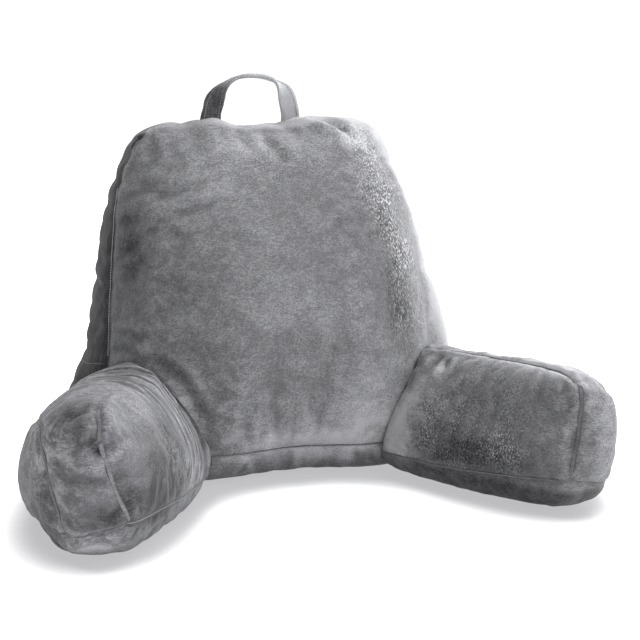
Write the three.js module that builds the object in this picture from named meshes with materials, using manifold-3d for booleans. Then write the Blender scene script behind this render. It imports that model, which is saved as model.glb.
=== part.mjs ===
// Backrest pillow with two arms and a carrying loop.
// Millimetres, +Z up, the sitter's side towards -Y, the origin on the floor under the middle.

import * as THREE from 'three';
import { mergeVertices } from 'three/addons/utils/BufferGeometryUtils.js';
import Module from 'manifold-3d';

const wasm = await Module();
wasm.setup();

// Gap between touching pieces.
const GAP = 0.35;

// Faces of each stuffed box: steps across, from front to back and up, and how far they crowd
// towards the seams.
const BACK_STEPS = [26, 8, 32];
const ARM_STEPS = [20, 10, 12];
const CROWDING = 0.3;

// The back cushion.
const BASE_SEAM = 42;          // height of the seam between the base panel and the panels above
const BACK_TOP = 448;          // height of the top seams
const BASE_RADIUS = 40;        // how far the base panel rounds in before it lies flat
const TOP_CROWN = 10;          // rise of the boxing strip between the two top seams
const CORNER_DROP = 14;        // how far the top seam falls at the two upper corners
const CORNER_DRAW = 0.075;     // share of the half width that the upper corners draw in
const PANEL_POWER = 3.2;       // how flat the middle of the front panel is
const PANEL_EASE = 0.8;        // how steeply that panel falls to its side seams
const TOP_FULLNESS = 0.15;     // share of its bulge that the panel keeps at the top seam
const HOLLOW_WIDE = 59;        // width of the hollow low in the front panel
const BASE_CORNER = 20;        // how softly the base panel turns its corners

// One row for each level of the back: half width at the front seam, bulge of the side boxing past
// it, depth of the front and back seams, bulge of the front and rear panels, the low hollow, and
// how much further the boxing bulges on the +X side than on the other.
const BACK_LEVELS = [
  { z: 42, half: 234, side: 52, front: -30, back: 118, bulge: 122, rear: 8, hollow: 32, lean: 8 },
  { z: 90, half: 230, side: 50, front: -24, back: 124, bulge: 128, rear: 18, hollow: 10, lean: 9 },
  { z: 150, half: 221, side: 38, front: -15, back: 126, bulge: 138, rear: 26, hollow: 0, lean: 14 },
  { z: 220, half: 214, side: 27, front: -4, back: 126, bulge: 134, rear: 30, hollow: 0, lean: 9 },
  { z: 300, half: 204, side: 22, front: 7, back: 126, bulge: 116, rear: 30, hollow: 0, lean: 7 },
  { z: 370, half: 190, side: 14, front: 15, back: 124, bulge: 90, rear: 24, hollow: 0, lean: 1 },
  { z: 420, half: 177, side: 11, front: 21, back: 122, bulge: 58, rear: 16, hollow: 0, lean: 1 },
  { z: 448, half: 172, side: 9, front: 25, back: 120, bulge: 20, rear: 8, hollow: 0, lean: 1 },
];

// Lumps along the top seam, where the filling stands up or sinks between the stitches.
const TOP_LUMPS = [
  { x: -130, wide: 20, rise: 3 },
  { x: -102, wide: 12, rise: -6 },
  { x: -66, wide: 20, rise: 6 },
  { x: -24, wide: 20, rise: -8 },
  { x: 24, wide: 18, rise: -4 },
  { x: 60, wide: 20, rise: 8 },
  { x: 102, wide: 14, rise: 3 },
  { x: 142, wide: 22, rise: 12 },
];

// Soft folds of the front panel, each a line across it with its width and depth.
const FRONT_FOLDS = [
  { x1: 52, z1: 446, x2: 120, z2: 408, wide: 12, deep: 7 },
  { x1: -198, z1: 316, x2: -96, z2: 282, wide: 15, deep: 4 },
  { x1: -196, z1: 262, x2: -110, z2: 236, wide: 15, deep: 4 },
  { x1: -212, z1: 178, x2: -140, z2: 172, wide: 12, deep: 6 },
  { x1: -150, z1: 168, x2: -112, z2: 96, wide: 12, deep: 6 },
  { x1: 160, z1: 200, x2: 120, z2: 110, wide: 13, deep: 5 },
  { x1: -160, z1: 420, x2: -60, z2: 436, wide: 10, deep: 4 },
];

// Puckers of the side boxing, evenly sewn.
const PUCKER_PITCH = 33;
const PUCKER_DEPTH = 2.5;

// One row for each station of the right arm, from inside the back to the end. The four seam lines
// are given in plan, the inner and outer top seams and the base seam by their heights as well.
const ARM_STATIONS = [
  { s: 0.0, lowX: 66, lowY: -66, topX: 168, topY: -20, outX: 246, outY: 44, footX: 246, footY: 50,
    low: 32, top: 148, outer: 88 },
  { s: 0.28, lowX: 112, lowY: -140, topX: 200, topY: -92, outX: 290, outY: -36, footX: 292, footY: -50,
    low: 32, top: 156, outer: 95 },
  { s: 0.55, lowX: 145, lowY: -224, topX: 236, topY: -180, outX: 312, outY: -140, footX: 314, footY: -158,
    low: 36, top: 160, outer: 111 },
  { s: 0.8, lowX: 194, lowY: -300, topX: 256, topY: -284, outX: 323, outY: -244, footX: 328, footY: -264,
    low: 42, top: 166, outer: 133 },
  { s: 1.0, lowX: 246, lowY: -370, topX: 264, topY: -366, outX: 321, outY: -328, footX: 305, footY: -356,
    low: 50, top: 171, outer: 151 },
];
const FOOT_DROP = 11;          // how much lower the base seam runs on the outer side
const ARM_INNER_BULGE = 24;
const ARM_OUTER_BULGE = 23;
const ARM_TOP_CROWN = 12;
const ARM_END_CROWN = 23;
const ARM_LENGTH = 400;
const ARM_INNER_RADIUS = 52;   // how far the base panel rounds in from each of its seams
const ARM_OUTER_RADIUS = 28;
const ARM_END_RADIUS = 80;
const ARM_END_ROUND = 0.05;    // share of the arm's length that its upper end corner rounds in
const ARM_END_DROP = 10;       // how far that corner falls
const SWAY = 9;                // how far both arm ends lie towards +X
const SWAY_FROM = 100;
const SWAY_TO = 380;

// The carrying loop: its place on the top boxing, the arch and the flat plush strap.
const LOOP_CENTRE = -5;
const LOOP_DEPTH = 92;
const LOOP_HALF = 58;
const LOOP_LEAN = 5;           // how far its crown sags to the side
const LOOP_FOOT = 444;
const LOOP_TOP = 524;
const STRAP_FOOT_WIDTH = 29;
const STRAP_CROWN_WIDTH = 24;
const STRAP_THICK = 6;
const STRAP_OUTLINE = [
  [-1, -0.5], [-0.8, -1], [0.8, -1], [1, -0.5],
  [1, 0.5], [0.8, 1], [-0.8, 1], [-1, 0.5],
];
const ARCH_POWER = 0.8;        // below 1 the arch has squarer shoulders than a half circle
const TURN_LEFT = 0.25;        // how far up the arch each side of the strap begins to turn
const TURN_RIGHT = 0.55;
const TURN_DONE = 0.98;
const LOOP_STEPS = 28;

// Reads a column of a table at a place, with a smooth curve through the rows.
function column(table, key, at, name) {
  const last = table.length - 1;
  let i = 0;
  while (i < last - 1 && at > table[i + 1][key]) i++;
  const a = table[i];
  const b = table[i + 1];
  const before = table[Math.max(i - 1, 0)];
  const after = table[Math.min(i + 2, last)];
  const span = b[key] - a[key];
  const t = THREE.MathUtils.clamp((at - a[key]) / span, 0, 1);
  const straight = (b[name] - a[name]) / span;
  const slopeA = i > 0 ? (b[name] - before[name]) / (b[key] - before[key]) : straight;
  const slopeB = i < last - 1 ? (after[name] - a[name]) / (after[key] - a[key]) : straight;
  const t2 = t * t;
  const t3 = t2 * t;
  return (2 * t3 - 3 * t2 + 1) * a[name] + (t3 - 2 * t2 + t) * span * slopeA
    + (3 * t2 - 2 * t3) * b[name] + (t3 - t2) * span * slopeB;
}

// Moves a place in -1..1 towards the nearer end, so that rows lie closer together there.
function crowd(t, share) {
  return t * (1 + share * (1 - t * t));
}

// Height of a stuffed panel over its seams: 0 on the seam, 1 in the middle.
function dome(t, power, ease) {
  return Math.pow(Math.max(0, 1 - Math.pow(Math.abs(t), power)), ease);
}

// The rise of a wide panel and of a narrow boxing strip between their seams.
const panelRise = (t) => dome(t, 2.2, 0.6);
const stripRise = (t) => dome(t, 2, 0.6);

// 1 over most of a panel, dying away beside its seams.
const offSeams = (t) => dome(t, 8, 1);

// A soft bump of height 1 at 0 that dies away over a width.
function bump(distance, wide) {
  return Math.exp(-0.5 * (distance / wide) ** 2);
}

// Height over the floor of the base panel, at a distance in from its seam.
function baseRise(distance, seam, radius) {
  const t = THREE.MathUtils.clamp(1 - distance / radius, 0, 1);
  return seam * (1 - Math.sqrt(1 - t * t));
}

// Smaller of two distances, with a soft corner.
function softMin(a, b, soft) {
  const h = THREE.MathUtils.clamp(0.5 + (b - a) / (2 * soft), 0, 1);
  return b + (a - b) * h - soft * h * (1 - h);
}

// Depth of the front panel's folds at a place on it.
function foldDepth(x, z) {
  const line = new THREE.Line3();
  const at = new THREE.Vector3(x, 0, z);
  const near = new THREE.Vector3();
  let deep = 0;
  for (const fold of FRONT_FOLDS) {
    line.start.set(fold.x1, 0, fold.z1);
    line.end.set(fold.x2, 0, fold.z2);
    line.closestPointToPoint(at, true, near);
    deep += fold.deep * bump(near.distanceTo(at), fold.wide);
  }
  return deep;
}

// Place on the back cushion: a runs across, b from the front to the back, c from the base up.
function backPoint(a, b, c, target) {
  const upper = Math.max(c, 0);
  let z = BASE_SEAM + (BACK_TOP - BASE_SEAM) * ((c + 1) / 2);
  z -= CORNER_DROP * Math.abs(a) ** 4 * upper ** 2;
  const read = (name) => column(BACK_LEVELS, 'z', Math.min(z, BACK_TOP), name);
  const puckers = PUCKER_DEPTH * Math.cos((2 * Math.PI * z) / PUCKER_PITCH) * offSeams(c);
  const seamHalf = read('half') * (1 - CORNER_DRAW * upper ** 6);
  const side = read('side') + puckers + Math.sign(a) * read('lean');
  const half = seamHalf + side * stripRise(b);
  const x = a * half;
  const fullness = THREE.MathUtils.lerp(TOP_FULLNESS, 1, panelRise(upper));
  const panel = dome(a, PANEL_POWER, PANEL_EASE);
  const folds = foldDepth(x, z) * offSeams(a) * offSeams(c);
  const hollow = read('hollow') * bump(x, HOLLOW_WIDE);
  const front = read('front') - read('bulge') * panel * fullness + hollow + folds;
  const rear = read('back') + read('rear') * panel * fullness;
  const y = THREE.MathUtils.lerp(front, rear, (b + 1) / 2);
  const atTop = upper ** 10;
  z += atTop * TOP_CROWN * stripRise(b) * offSeams(a);
  for (const lump of TOP_LUMPS) z += atTop * lump.rise * bump(x - lump.x, lump.wide);
  if (c <= -1) {
    const fromSide = (1 - Math.abs(a)) * half;
    const fromPanels = softMin(y - front, rear - y, BASE_CORNER);
    z = baseRise(softMin(fromSide, fromPanels, BASE_CORNER), BASE_SEAM, BASE_RADIUS);
  }
  return target.set(x, y, z);
}

// Place on the right arm: a runs from inside the back to the end, b from the inner to the outer
// panel, c from the base up.
function armPoint(a, b, c, target) {
  const ahead = Math.max(a, 0);
  const upper = Math.max(c, 0);
  const s = (a + 1) / 2 - ARM_END_ROUND * ahead ** 5 * upper ** 5;
  const read = (name) => column(ARM_STATIONS, 's', s, name);
  const low = new THREE.Vector3(read('lowX'), read('lowY'), read('low'));
  const top = new THREE.Vector3(read('topX'), read('topY'), read('top'));
  const outer = new THREE.Vector3(read('outX'), read('outY'), read('outer'));
  const foot = new THREE.Vector3(read('footX'), read('footY'), read('low') - FOOT_DROP);
  const height = (c + 1) / 2;
  const inSide = low.clone().lerp(top, height);
  const outSide = foot.clone().lerp(outer, height);
  const across = outSide.clone().sub(inSide);
  const width = across.length();
  across.divideScalar(width);
  const slope = top.clone().sub(low).normalize();
  const forward = new THREE.Vector3().crossVectors(slope, across).normalize();
  if (forward.y > 0) forward.negate();
  const inward = new THREE.Vector3().crossVectors(slope, forward).normalize();
  if (inward.x > 0) inward.negate();
  const belly = panelRise(c) * offSeams(a);
  const place = inSide.clone().lerp(outSide, (b + 1) / 2);
  place.addScaledVector(inward, ARM_INNER_BULGE * belly * ((1 - b) / 2));
  place.addScaledVector(inward, -ARM_OUTER_BULGE * belly * ((1 + b) / 2));
  place.addScaledVector(forward, ARM_END_CROWN * ahead ** 8 * stripRise(b) * panelRise(c));
  place.z += ARM_TOP_CROWN * upper ** 8 * stripRise(b);
  place.z -= ARM_END_DROP * ahead ** 6 * upper ** 6;
  if (c <= -1) {
    const fromInner = (((1 + b) / 2) * width) / ARM_INNER_RADIUS;
    const fromOuter = (((1 - b) / 2) * width) / ARM_OUTER_RADIUS;
    const fromEnd = (((1 - a) / 2) * ARM_LENGTH) / ARM_END_RADIUS;
    const inset = softMin(softMin(fromInner, fromOuter, 0.2), fromEnd, 0.3);
    place.z = baseRise(inset, place.z, 1);
  }
  return target.copy(place);
}

// A stuffed box: the faces of a divided box, each point taken to its place by a shaping function.
function stuffedBox(steps, place) {
  const box = new THREE.BoxGeometry(2, 2, 2, ...steps);
  box.deleteAttribute('normal');
  box.deleteAttribute('uv');
  const merged = mergeVertices(box, 1e-4);
  const position = merged.getAttribute('position');
  const at = new THREE.Vector3();
  for (let i = 0; i < position.count; i++) {
    const a = crowd(position.getX(i), CROWDING);
    const b = crowd(position.getY(i), CROWDING);
    const c = crowd(position.getZ(i), CROWDING);
    place(a, b, c, at);
    position.setXYZ(i, at.x, at.y, at.z);
  }
  return merged;
}

// One arm, swayed with its fellow, on the right (side 1) or the left (side -1).
function makeArm(side) {
  const box = stuffedBox(ARM_STEPS, (a, b, c, target) => {
    armPoint(a, b, c, target);
    const reach = THREE.MathUtils.smoothstep(-target.y, SWAY_FROM, SWAY_TO);
    target.x = side * target.x + SWAY * reach;
  });
  if (side < 0) {
    const index = box.index;
    for (let i = 0; i < index.count; i += 3) {
      const keep = index.getX(i + 1);
      index.setX(i + 1, index.getX(i + 2));
      index.setX(i + 2, keep);
    }
  }
  return box;
}

// The carrying loop: a flat strap on an arch, a quarter turn between each foot and the crown.
function makeLoop() {
  const rise = LOOP_TOP - STRAP_THICK / 2 - LOOP_FOOT;
  const ring = STRAP_OUTLINE.length;
  const depth = new THREE.Vector3(0, 1, 0);
  const points = [];
  const index = [];
  for (let i = 0; i <= LOOP_STEPS; i++) {
    const t = (i / LOOP_STEPS) * Math.PI;
    const along = Math.cos(t);
    const up = Math.sin(t);
    const x = LOOP_CENTRE - LOOP_HALF * Math.sign(along) * Math.abs(along) ** ARCH_POWER + LOOP_LEAN * up;
    const centre = new THREE.Vector3(x, LOOP_DEPTH, LOOP_FOOT + rise * up ** ARCH_POWER);
    const out = new THREE.Vector3(-along, 0, up);
    const turnFrom = along > 0 ? TURN_LEFT : TURN_RIGHT;
    const turn = (Math.PI / 2) * THREE.MathUtils.smoothstep(up, turnFrom, TURN_DONE);
    const wide = out.clone().multiplyScalar(Math.cos(turn)).addScaledVector(depth, Math.sin(turn));
    const thick = depth.clone().multiplyScalar(Math.cos(turn)).addScaledVector(out, -Math.sin(turn));
    const width = THREE.MathUtils.lerp(STRAP_FOOT_WIDTH, STRAP_CROWN_WIDTH, up) / 2;
    for (const [u, v] of STRAP_OUTLINE) {
      const p = centre.clone().addScaledVector(wide, u * width);
      p.addScaledVector(thick, (v * STRAP_THICK) / 2);
      points.push(p.x, p.y, p.z);
    }
  }
  for (let i = 0; i < LOOP_STEPS; i++) {
    for (let j = 0; j < ring; j++) {
      const p = i * ring + j;
      const q = i * ring + ((j + 1) % ring);
      index.push(p, q + ring, q, p, p + ring, q + ring);
    }
  }
  const last = LOOP_STEPS * ring;
  for (let j = 1; j < ring - 1; j++) {
    index.push(0, j, j + 1);
    index.push(last, last + j + 1, last + j);
  }
  return new THREE.BufferGeometry()
    .setAttribute('position', new THREE.BufferAttribute(new Float32Array(points), 3))
    .setIndex(index);
}

// A closed, merged geometry as a solid for cutting.
function toSolid(geometry) {
  return new wasm.Manifold(new wasm.Mesh({
    numProp: 3,
    vertProperties: new Float32Array(geometry.getAttribute('position').array),
    triVerts: new Uint32Array(geometry.index.array),
  }));
}

function toGeometry(solid) {
  const mesh = solid.getMesh();
  return new THREE.BufferGeometry()
    .setAttribute('position', new THREE.BufferAttribute(new Float32Array(mesh.vertProperties), 3))
    .setIndex(new THREE.BufferAttribute(new Uint32Array(mesh.triVerts), 1));
}

// A copy of a geometry grown along its normals.
function grown(geometry, distance) {
  const copy = geometry.clone();
  copy.computeVertexNormals();
  const position = copy.getAttribute('position');
  const normal = copy.getAttribute('normal');
  const at = new THREE.Vector3();
  const out = new THREE.Vector3();
  for (let i = 0; i < position.count; i++) {
    at.fromBufferAttribute(position, i);
    out.fromBufferAttribute(normal, i);
    at.addScaledVector(out, distance);
    position.setXYZ(i, at.x, at.y, at.z);
  }
  copy.deleteAttribute('normal');
  return copy;
}

const root = new THREE.Group();
function add(name, geometry) {
  const plush = new THREE.MeshStandardMaterial({ color: 0x77777b, roughness: 0.9, metalness: 0 });
  const mesh = new THREE.Mesh(geometry, plush);
  mesh.name = name;
  root.add(mesh);
}

const back = stuffedBox(BACK_STEPS, backPoint);
const cutter = toSolid(grown(back, GAP));
add('back_cushion', back);
add('arm_right', toGeometry(toSolid(makeArm(1)).subtract(cutter)));
add('arm_left', toGeometry(toSolid(makeArm(-1)).subtract(cutter)));
add('carry_loop', toGeometry(toSolid(makeLoop()).subtract(cutter)));

export default root;
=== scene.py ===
"""Backrest pillow in grey short-pile plush: a stuffed back, two stuffed arms and a carrying loop.

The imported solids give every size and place. The cushions are inflated over them, drawn in at their
seams, gathered and folded, then finished in plush. Everything here is in metres, with +Z up and the
sitter's side towards -Y.
"""

import logging
import math
from dataclasses import dataclass, field
from enum import Enum
from typing import Callable, Iterable, Optional, Sequence, Union

import bmesh
import bpy
import numpy as np
from mathutils import Matrix, Vector, noise
from mathutils.bvhtree import BVHTree
from mathutils.kdtree import KDTree


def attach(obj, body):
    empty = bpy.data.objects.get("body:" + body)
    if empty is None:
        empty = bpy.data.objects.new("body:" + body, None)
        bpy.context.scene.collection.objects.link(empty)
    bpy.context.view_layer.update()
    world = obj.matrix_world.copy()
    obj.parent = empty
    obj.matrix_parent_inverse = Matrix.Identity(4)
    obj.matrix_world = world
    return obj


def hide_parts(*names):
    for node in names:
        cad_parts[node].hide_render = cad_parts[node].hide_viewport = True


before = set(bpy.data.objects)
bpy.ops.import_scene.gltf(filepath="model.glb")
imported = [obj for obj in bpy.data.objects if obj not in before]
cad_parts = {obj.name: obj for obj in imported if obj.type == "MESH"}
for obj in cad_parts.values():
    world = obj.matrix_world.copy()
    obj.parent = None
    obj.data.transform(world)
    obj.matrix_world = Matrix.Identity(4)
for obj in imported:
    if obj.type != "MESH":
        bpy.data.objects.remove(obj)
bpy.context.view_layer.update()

LOG = logging.getLogger("backrest_pillow")
BODY = "root"
MILLIMETRE = 0.001
SENSOR_WIDTH = 36.0

# How far a seam's line may lie from the cloth, and how far the trim stays above the floor.
ON_SURFACE = 0.012
FLOOR_GAP = 0.0003

# The pale thread along the left front seam: the heights that it shows between, and its shift from the seam.
THREAD_HEIGHTS = (0.150, 0.368)
THREAD_SHIFT = (-0.0004, 0.0022, 0.0)

Colour = tuple[float, float, float]
Place = tuple[float, float, float]


class Side(Enum):
    """Side of the pillow, with the sign of its X."""

    LEFT = -1
    RIGHT = 1


# Numbers along a path


def dome(t: np.ndarray, power: float, ease: float) -> np.ndarray:
    """Height of a stuffed panel over its seams.

    Args:
        t: Places across the panel, -1 and 1 on its seams.
        power: How flat its middle is.
        ease: How steeply it falls to the seams.

    Returns:
        Heights from 0 on a seam to 1 in the middle.
    """
    return np.maximum(0.0, 1 - np.abs(t) ** power) ** ease


def column(table: Sequence[Sequence[float]], at: np.ndarray, index: int) -> np.ndarray:
    """Reads one column of a table as a smooth curve through its rows.

    Args:
        table: Rows whose first number is the place of the row.
        at: Places to read.
        index: The column to read.

    Returns:
        The column's value at each place.
    """
    rows = np.array(table, float)
    place, value = rows[:, 0], rows[:, index]
    slope = np.gradient(value, place)
    slope[1:-1] = (value[2:] - value[:-2]) / (place[2:] - place[:-2])
    i = np.clip(np.searchsorted(place, at) - 1, 0, len(place) - 2)
    span = place[i + 1] - place[i]
    t = np.clip((at - place[i]) / span, 0, 1)
    return (
        (2 * t**3 - 3 * t**2 + 1) * value[i]
        + (t**3 - 2 * t**2 + t) * span * slope[i]
        + (3 * t**2 - 2 * t**3) * value[i + 1]
        + (t**3 - t**2) * span * slope[i + 1]
    )


def bell(distance: np.ndarray, wide: float) -> np.ndarray:
    """A soft bump of height 1 at 0 that dies away over a width."""
    return np.exp(-0.5 * (distance / wide) ** 2)


def ease_in(value: np.ndarray, low: float, high: float) -> np.ndarray:
    """0 below low, 1 above high and a smooth step between, or the reverse where low is above high."""
    t = np.clip((value - low) / (high - low), 0, 1)
    return t * t * (3 - 2 * t)


def ripple(along: np.ndarray, pitch: float, seed: int) -> np.ndarray:
    """Uneven waves along a line.

    Args:
        along: Places on the line.
        pitch: Typical distance between two crests.
        seed: Picks the waves.

    Returns:
        Heights that wander between about -1 and 1.
    """
    knots = np.random.default_rng(seed).uniform(-1, 1, 512)
    t = along / (pitch * 0.5)
    i = np.floor(t).astype(int)
    f = t - i
    f = f * f * (3 - 2 * f)
    return knots[i % 512] * (1 - f) + knots[(i + 1) % 512] * f


def cloud(points: np.ndarray, size: float, seed: float) -> np.ndarray:
    """Soft lumps in space.

    Args:
        points: The points, one row each.
        size: Typical size of a lump.
        seed: Picks the lumps.

    Returns:
        Heights between about -1 and 1.
    """
    shift = Vector((seed * 7.1, seed * 3.7, seed * 5.3))
    return np.array([noise.noise(Vector(p) / size + shift) for p in points])


def unit(rows: np.ndarray) -> np.ndarray:
    """Returns each row scaled to length 1."""
    return rows / np.maximum(np.linalg.norm(rows, axis=1, keepdims=True), 1e-9)


@dataclass
class Path:
    """A line of points in space.

    Attributes:
        points: The points in order, one row each.
    """

    points: np.ndarray

    def even(self, step: float) -> "Path":
        """Spaces the line's points evenly.

        Args:
            step: How far apart.

        Returns:
            The same line.
        """
        gaps = np.linalg.norm(np.diff(self.points, axis=0), axis=1)
        run = np.concatenate([[0], np.cumsum(gaps)])
        count = max(2, int(round(run[-1] / step)) + 1)
        at = np.linspace(0, run[-1], count)
        return Path(np.stack([np.interp(at, run, self.points[:, k]) for k in range(3)], 1))

    def softened(self, rounds: int) -> "Path":
        """Rounds the line's corners and keeps its ends.

        Args:
            rounds: How often.

        Returns:
            The rounder line.
        """
        points = self.points.copy()
        for _ in range(rounds):
            points[1:-1] = 0.25 * points[:-2] + 0.5 * points[1:-1] + 0.25 * points[2:]
        return Path(points)

    def length(self) -> float:
        """Returns the length of the line."""
        return float(np.linalg.norm(np.diff(self.points, axis=0), axis=1).sum())

    def nearest(self, places: np.ndarray, reach: float = 0.07) -> tuple[np.ndarray, np.ndarray]:
        """Measures places against the line.

        Args:
            places: The places, one row each.
            reach: How far from the line's box a place is measured. Past it, the place counts as far off.

        Returns:
            The distance of each place from the line, and how far along the line it lies.
        """
        low, high = self.points.min(0) - reach, self.points.max(0) + reach
        near = ((places >= low) & (places <= high)).all(1)
        gap, along = np.full(len(places), 1.0), np.zeros(len(places))
        if near.any():
            gap[near], along[near] = self._measure(places[near])
        return gap, along

    def _measure(self, places: np.ndarray) -> tuple[np.ndarray, np.ndarray]:
        """Measures places near the line.

        Args:
            places: The places, one row each.

        Returns:
            Each place's distance from the line, and how far along the line it lies.
        """
        last = len(self.points) - 1
        tree = KDTree(last + 1)
        for i, p in enumerate(self.points):
            tree.insert(p, i)
        tree.balance()
        index = np.fromiter((tree.find(p)[1] for p in places), int, len(places))
        step = np.diff(self.points, axis=0)
        size = np.maximum(np.linalg.norm(step, axis=1), 1e-9)
        run = np.concatenate([[0], np.cumsum(size)])
        best = np.full(len(places), np.inf)
        along = np.zeros(len(places))
        for segment in (np.maximum(index - 1, 0), np.minimum(index, last - 1)):
            d, length = step[segment], size[segment]
            away = places - self.points[segment]
            t = np.clip((away * d).sum(1) / length**2, 0, 1)
            gap = np.linalg.norm(away - t[:, None] * d, axis=1)
            closer = gap < best
            best = np.where(closer, gap, best)
            along = np.where(closer, run[segment] + t * length, along)
        return best, along

    def laid_on(self, tree: BVHTree, reach: float) -> "Path":
        """Moves the line to a surface and keeps its longest stretch there.

        Args:
            tree: The surface.
            reach: How far a point may move. Others are dropped.

        Returns:
            The line on the surface.
        """
        runs: list[list[Vector]] = [[]]
        for p in self.points:
            place, _, _, gap = tree.find_nearest(Vector(p))
            if place is not None and gap <= reach:
                runs[-1].append(place)
            elif runs[-1]:
                runs.append([])
        longest = max(runs, key=len)
        found = Path(np.array(longest, float).reshape(-1, 3))
        return found.even(found.length() / max(1, len(longest) - 1)) if len(longest) > 1 else found


# Shaders


class Value:
    """A shader socket that takes part in sums, so that an expression adds its Math nodes."""

    def __init__(self, shader: "Shader", socket: bpy.types.NodeSocket) -> None:
        """Wraps a socket of a shader."""
        self.shader = shader
        self.socket = socket

    def _math(self, operation: str, first: "Number", second: "Number" = 0.0) -> "Value":
        """Adds one Math node and returns its result."""
        node = self.shader.node("ShaderNodeMath", {"operation": operation}, {0: first, 1: second})
        return Value(self.shader, node.outputs[0])

    def __add__(self, other: "Number") -> "Value":
        """self + other."""
        return self._math("ADD", self, other)

    def __radd__(self, other: "Number") -> "Value":
        """other + self."""
        return self._math("ADD", other, self)

    def __sub__(self, other: "Number") -> "Value":
        """self - other."""
        return self._math("SUBTRACT", self, other)

    def __rsub__(self, other: "Number") -> "Value":
        """other - self."""
        return self._math("SUBTRACT", other, self)

    def __mul__(self, other: "Number") -> "Value":
        """self * other."""
        return self._math("MULTIPLY", self, other)

    def __rmul__(self, other: "Number") -> "Value":
        """other * self."""
        return self._math("MULTIPLY", other, self)

    def step(self, low: float, high: float, start: "Number" = 0.0, end: "Number" = 1.0) -> "Value":
        """Steps smoothly from one number to another.

        Args:
            low: Up to here the result is start.
            high: From here on the result is end.
            start: The first number.
            end: The last number.

        Returns:
            The stepped value.
        """
        inputs = {"Value": self, "From Min": low, "From Max": high, "To Min": start, "To Max": end}
        node = self.shader.node("ShaderNodeMapRange", {"interpolation_type": "SMOOTHSTEP"}, inputs)
        return Value(self.shader, node.outputs[0])


Number = Union[Value, float]


class Shader:
    """A node tree in the making, of a material or a world."""

    def __init__(self, owner: Union[bpy.types.Material, bpy.types.World]) -> None:
        """Starts an empty node tree.

        Args:
            owner: The new material or world that it belongs to.
        """
        owner.use_nodes = True
        self.owner = owner
        self.tree = owner.node_tree
        self.tree.nodes.clear()

    @classmethod
    def of_material(cls, name: str) -> "Shader":
        """Returns the empty node tree of a new material."""
        return cls(bpy.data.materials.new(name))

    def node(self, kind: str, settings: dict, inputs: dict) -> bpy.types.Node:
        """Adds a node.

        Args:
            kind: The node's type.
            settings: Its properties, set first. "stops" are a colour ramp's stops.
            inputs: Its sockets by name or number, each a value or the wrapped socket that feeds it.

        Returns:
            The node.
        """
        made = self.tree.nodes.new(kind)
        for name, value in settings.items():
            if name == "stops":
                ramp = made.color_ramp
                while len(ramp.elements) < len(value):
                    ramp.elements.new(0.5)
                for element, (place, tone) in zip(ramp.elements, value):
                    element.position = place
                    element.color = (*tone, 1.0)
            else:
                setattr(made, name, value)
        for name, value in inputs.items():
            if isinstance(value, Value):
                self.tree.links.new(value.socket, made.inputs[name])
            else:
                made.inputs[name].default_value = value
        return made

    def streaks(
        self,
        size: Place,
        turn: Place = (0.0, 0.0, 0.0),
        detail: float = 2.0,
        rough: float = 0.5,
        warp: float = 0.0,
    ) -> Value:
        """Returns noise from 0 to 1, laid out on Object coordinates.

        Args:
            size: Size of its lumps along three axes.
            turn: How those axes are turned.
            detail: Octaves of finer noise.
            rough: Strength of the finer octaves.
            warp: How far the lumps are twisted.

        Returns:
            The noise.
        """
        at = Value(self, self.node("ShaderNodeTexCoord", {}, {}).outputs["Object"])
        settings = {"vector_type": "TEXTURE"}
        laid = self.node("ShaderNodeMapping", settings, {"Vector": at, "Scale": size, "Rotation": turn})
        inputs = {
            "Vector": Value(self, laid.outputs[0]),
            "Scale": 1.0,
            "Detail": detail,
            "Roughness": rough,
            "Distortion": warp,
        }
        return Value(self, self.node("ShaderNodeTexNoise", {}, inputs).outputs[0])

    def lumps(self, size: float, detail: float = 2.0, rough: float = 0.5, warp: float = 0.0) -> Value:
        """Returns noise from 0 to 1 whose lumps are as long as they are wide."""
        return self.streaks((size, size, size), detail=detail, rough=rough, warp=warp)

    def painted(self, name: str) -> Value:
        """Returns a number painted on the piece's points."""
        made = self.node("ShaderNodeAttribute", {"attribute_name": name}, {})
        return Value(self, made.outputs["Fac"])

    def blend(self, share: Number, first: Union[Value, tuple], second: Union[Value, tuple]) -> Value:
        """Returns a colour between two colours."""
        made = self.node("ShaderNodeMix", {"data_type": "RGBA"}, {0: share, 6: first, 7: second})
        return Value(self, made.outputs[2])

    def bump(self, height: Value, depth: float, strength: float, under: Optional[Value] = None) -> Value:
        """Pushes a surface about by a height.

        Args:
            height: The height.
            depth: How far a height of 1 stands out.
            strength: Share of the effect.
            under: A normal that it adds to.

        Returns:
            The surface normal.
        """
        inputs = {"Height": height, "Distance": depth, "Strength": strength}
        if under is not None:
            inputs["Normal"] = under
        return Value(self, self.node("ShaderNodeBump", {}, inputs).outputs[0])

    def finish(self, inputs: dict) -> bpy.types.Material:
        """Adds the surface.

        Args:
            inputs: Its sockets by name.

        Returns:
            The material.
        """
        surface = self.node("ShaderNodeBsdfPrincipled", {}, inputs)
        self.node("ShaderNodeOutputMaterial", {}, {"Surface": Value(self, surface.outputs[0])})
        return self.owner


def opaque(tone: Colour) -> tuple[float, float, float, float]:
    """Returns a colour with full alpha."""
    return (*tone, 1.0)


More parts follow.
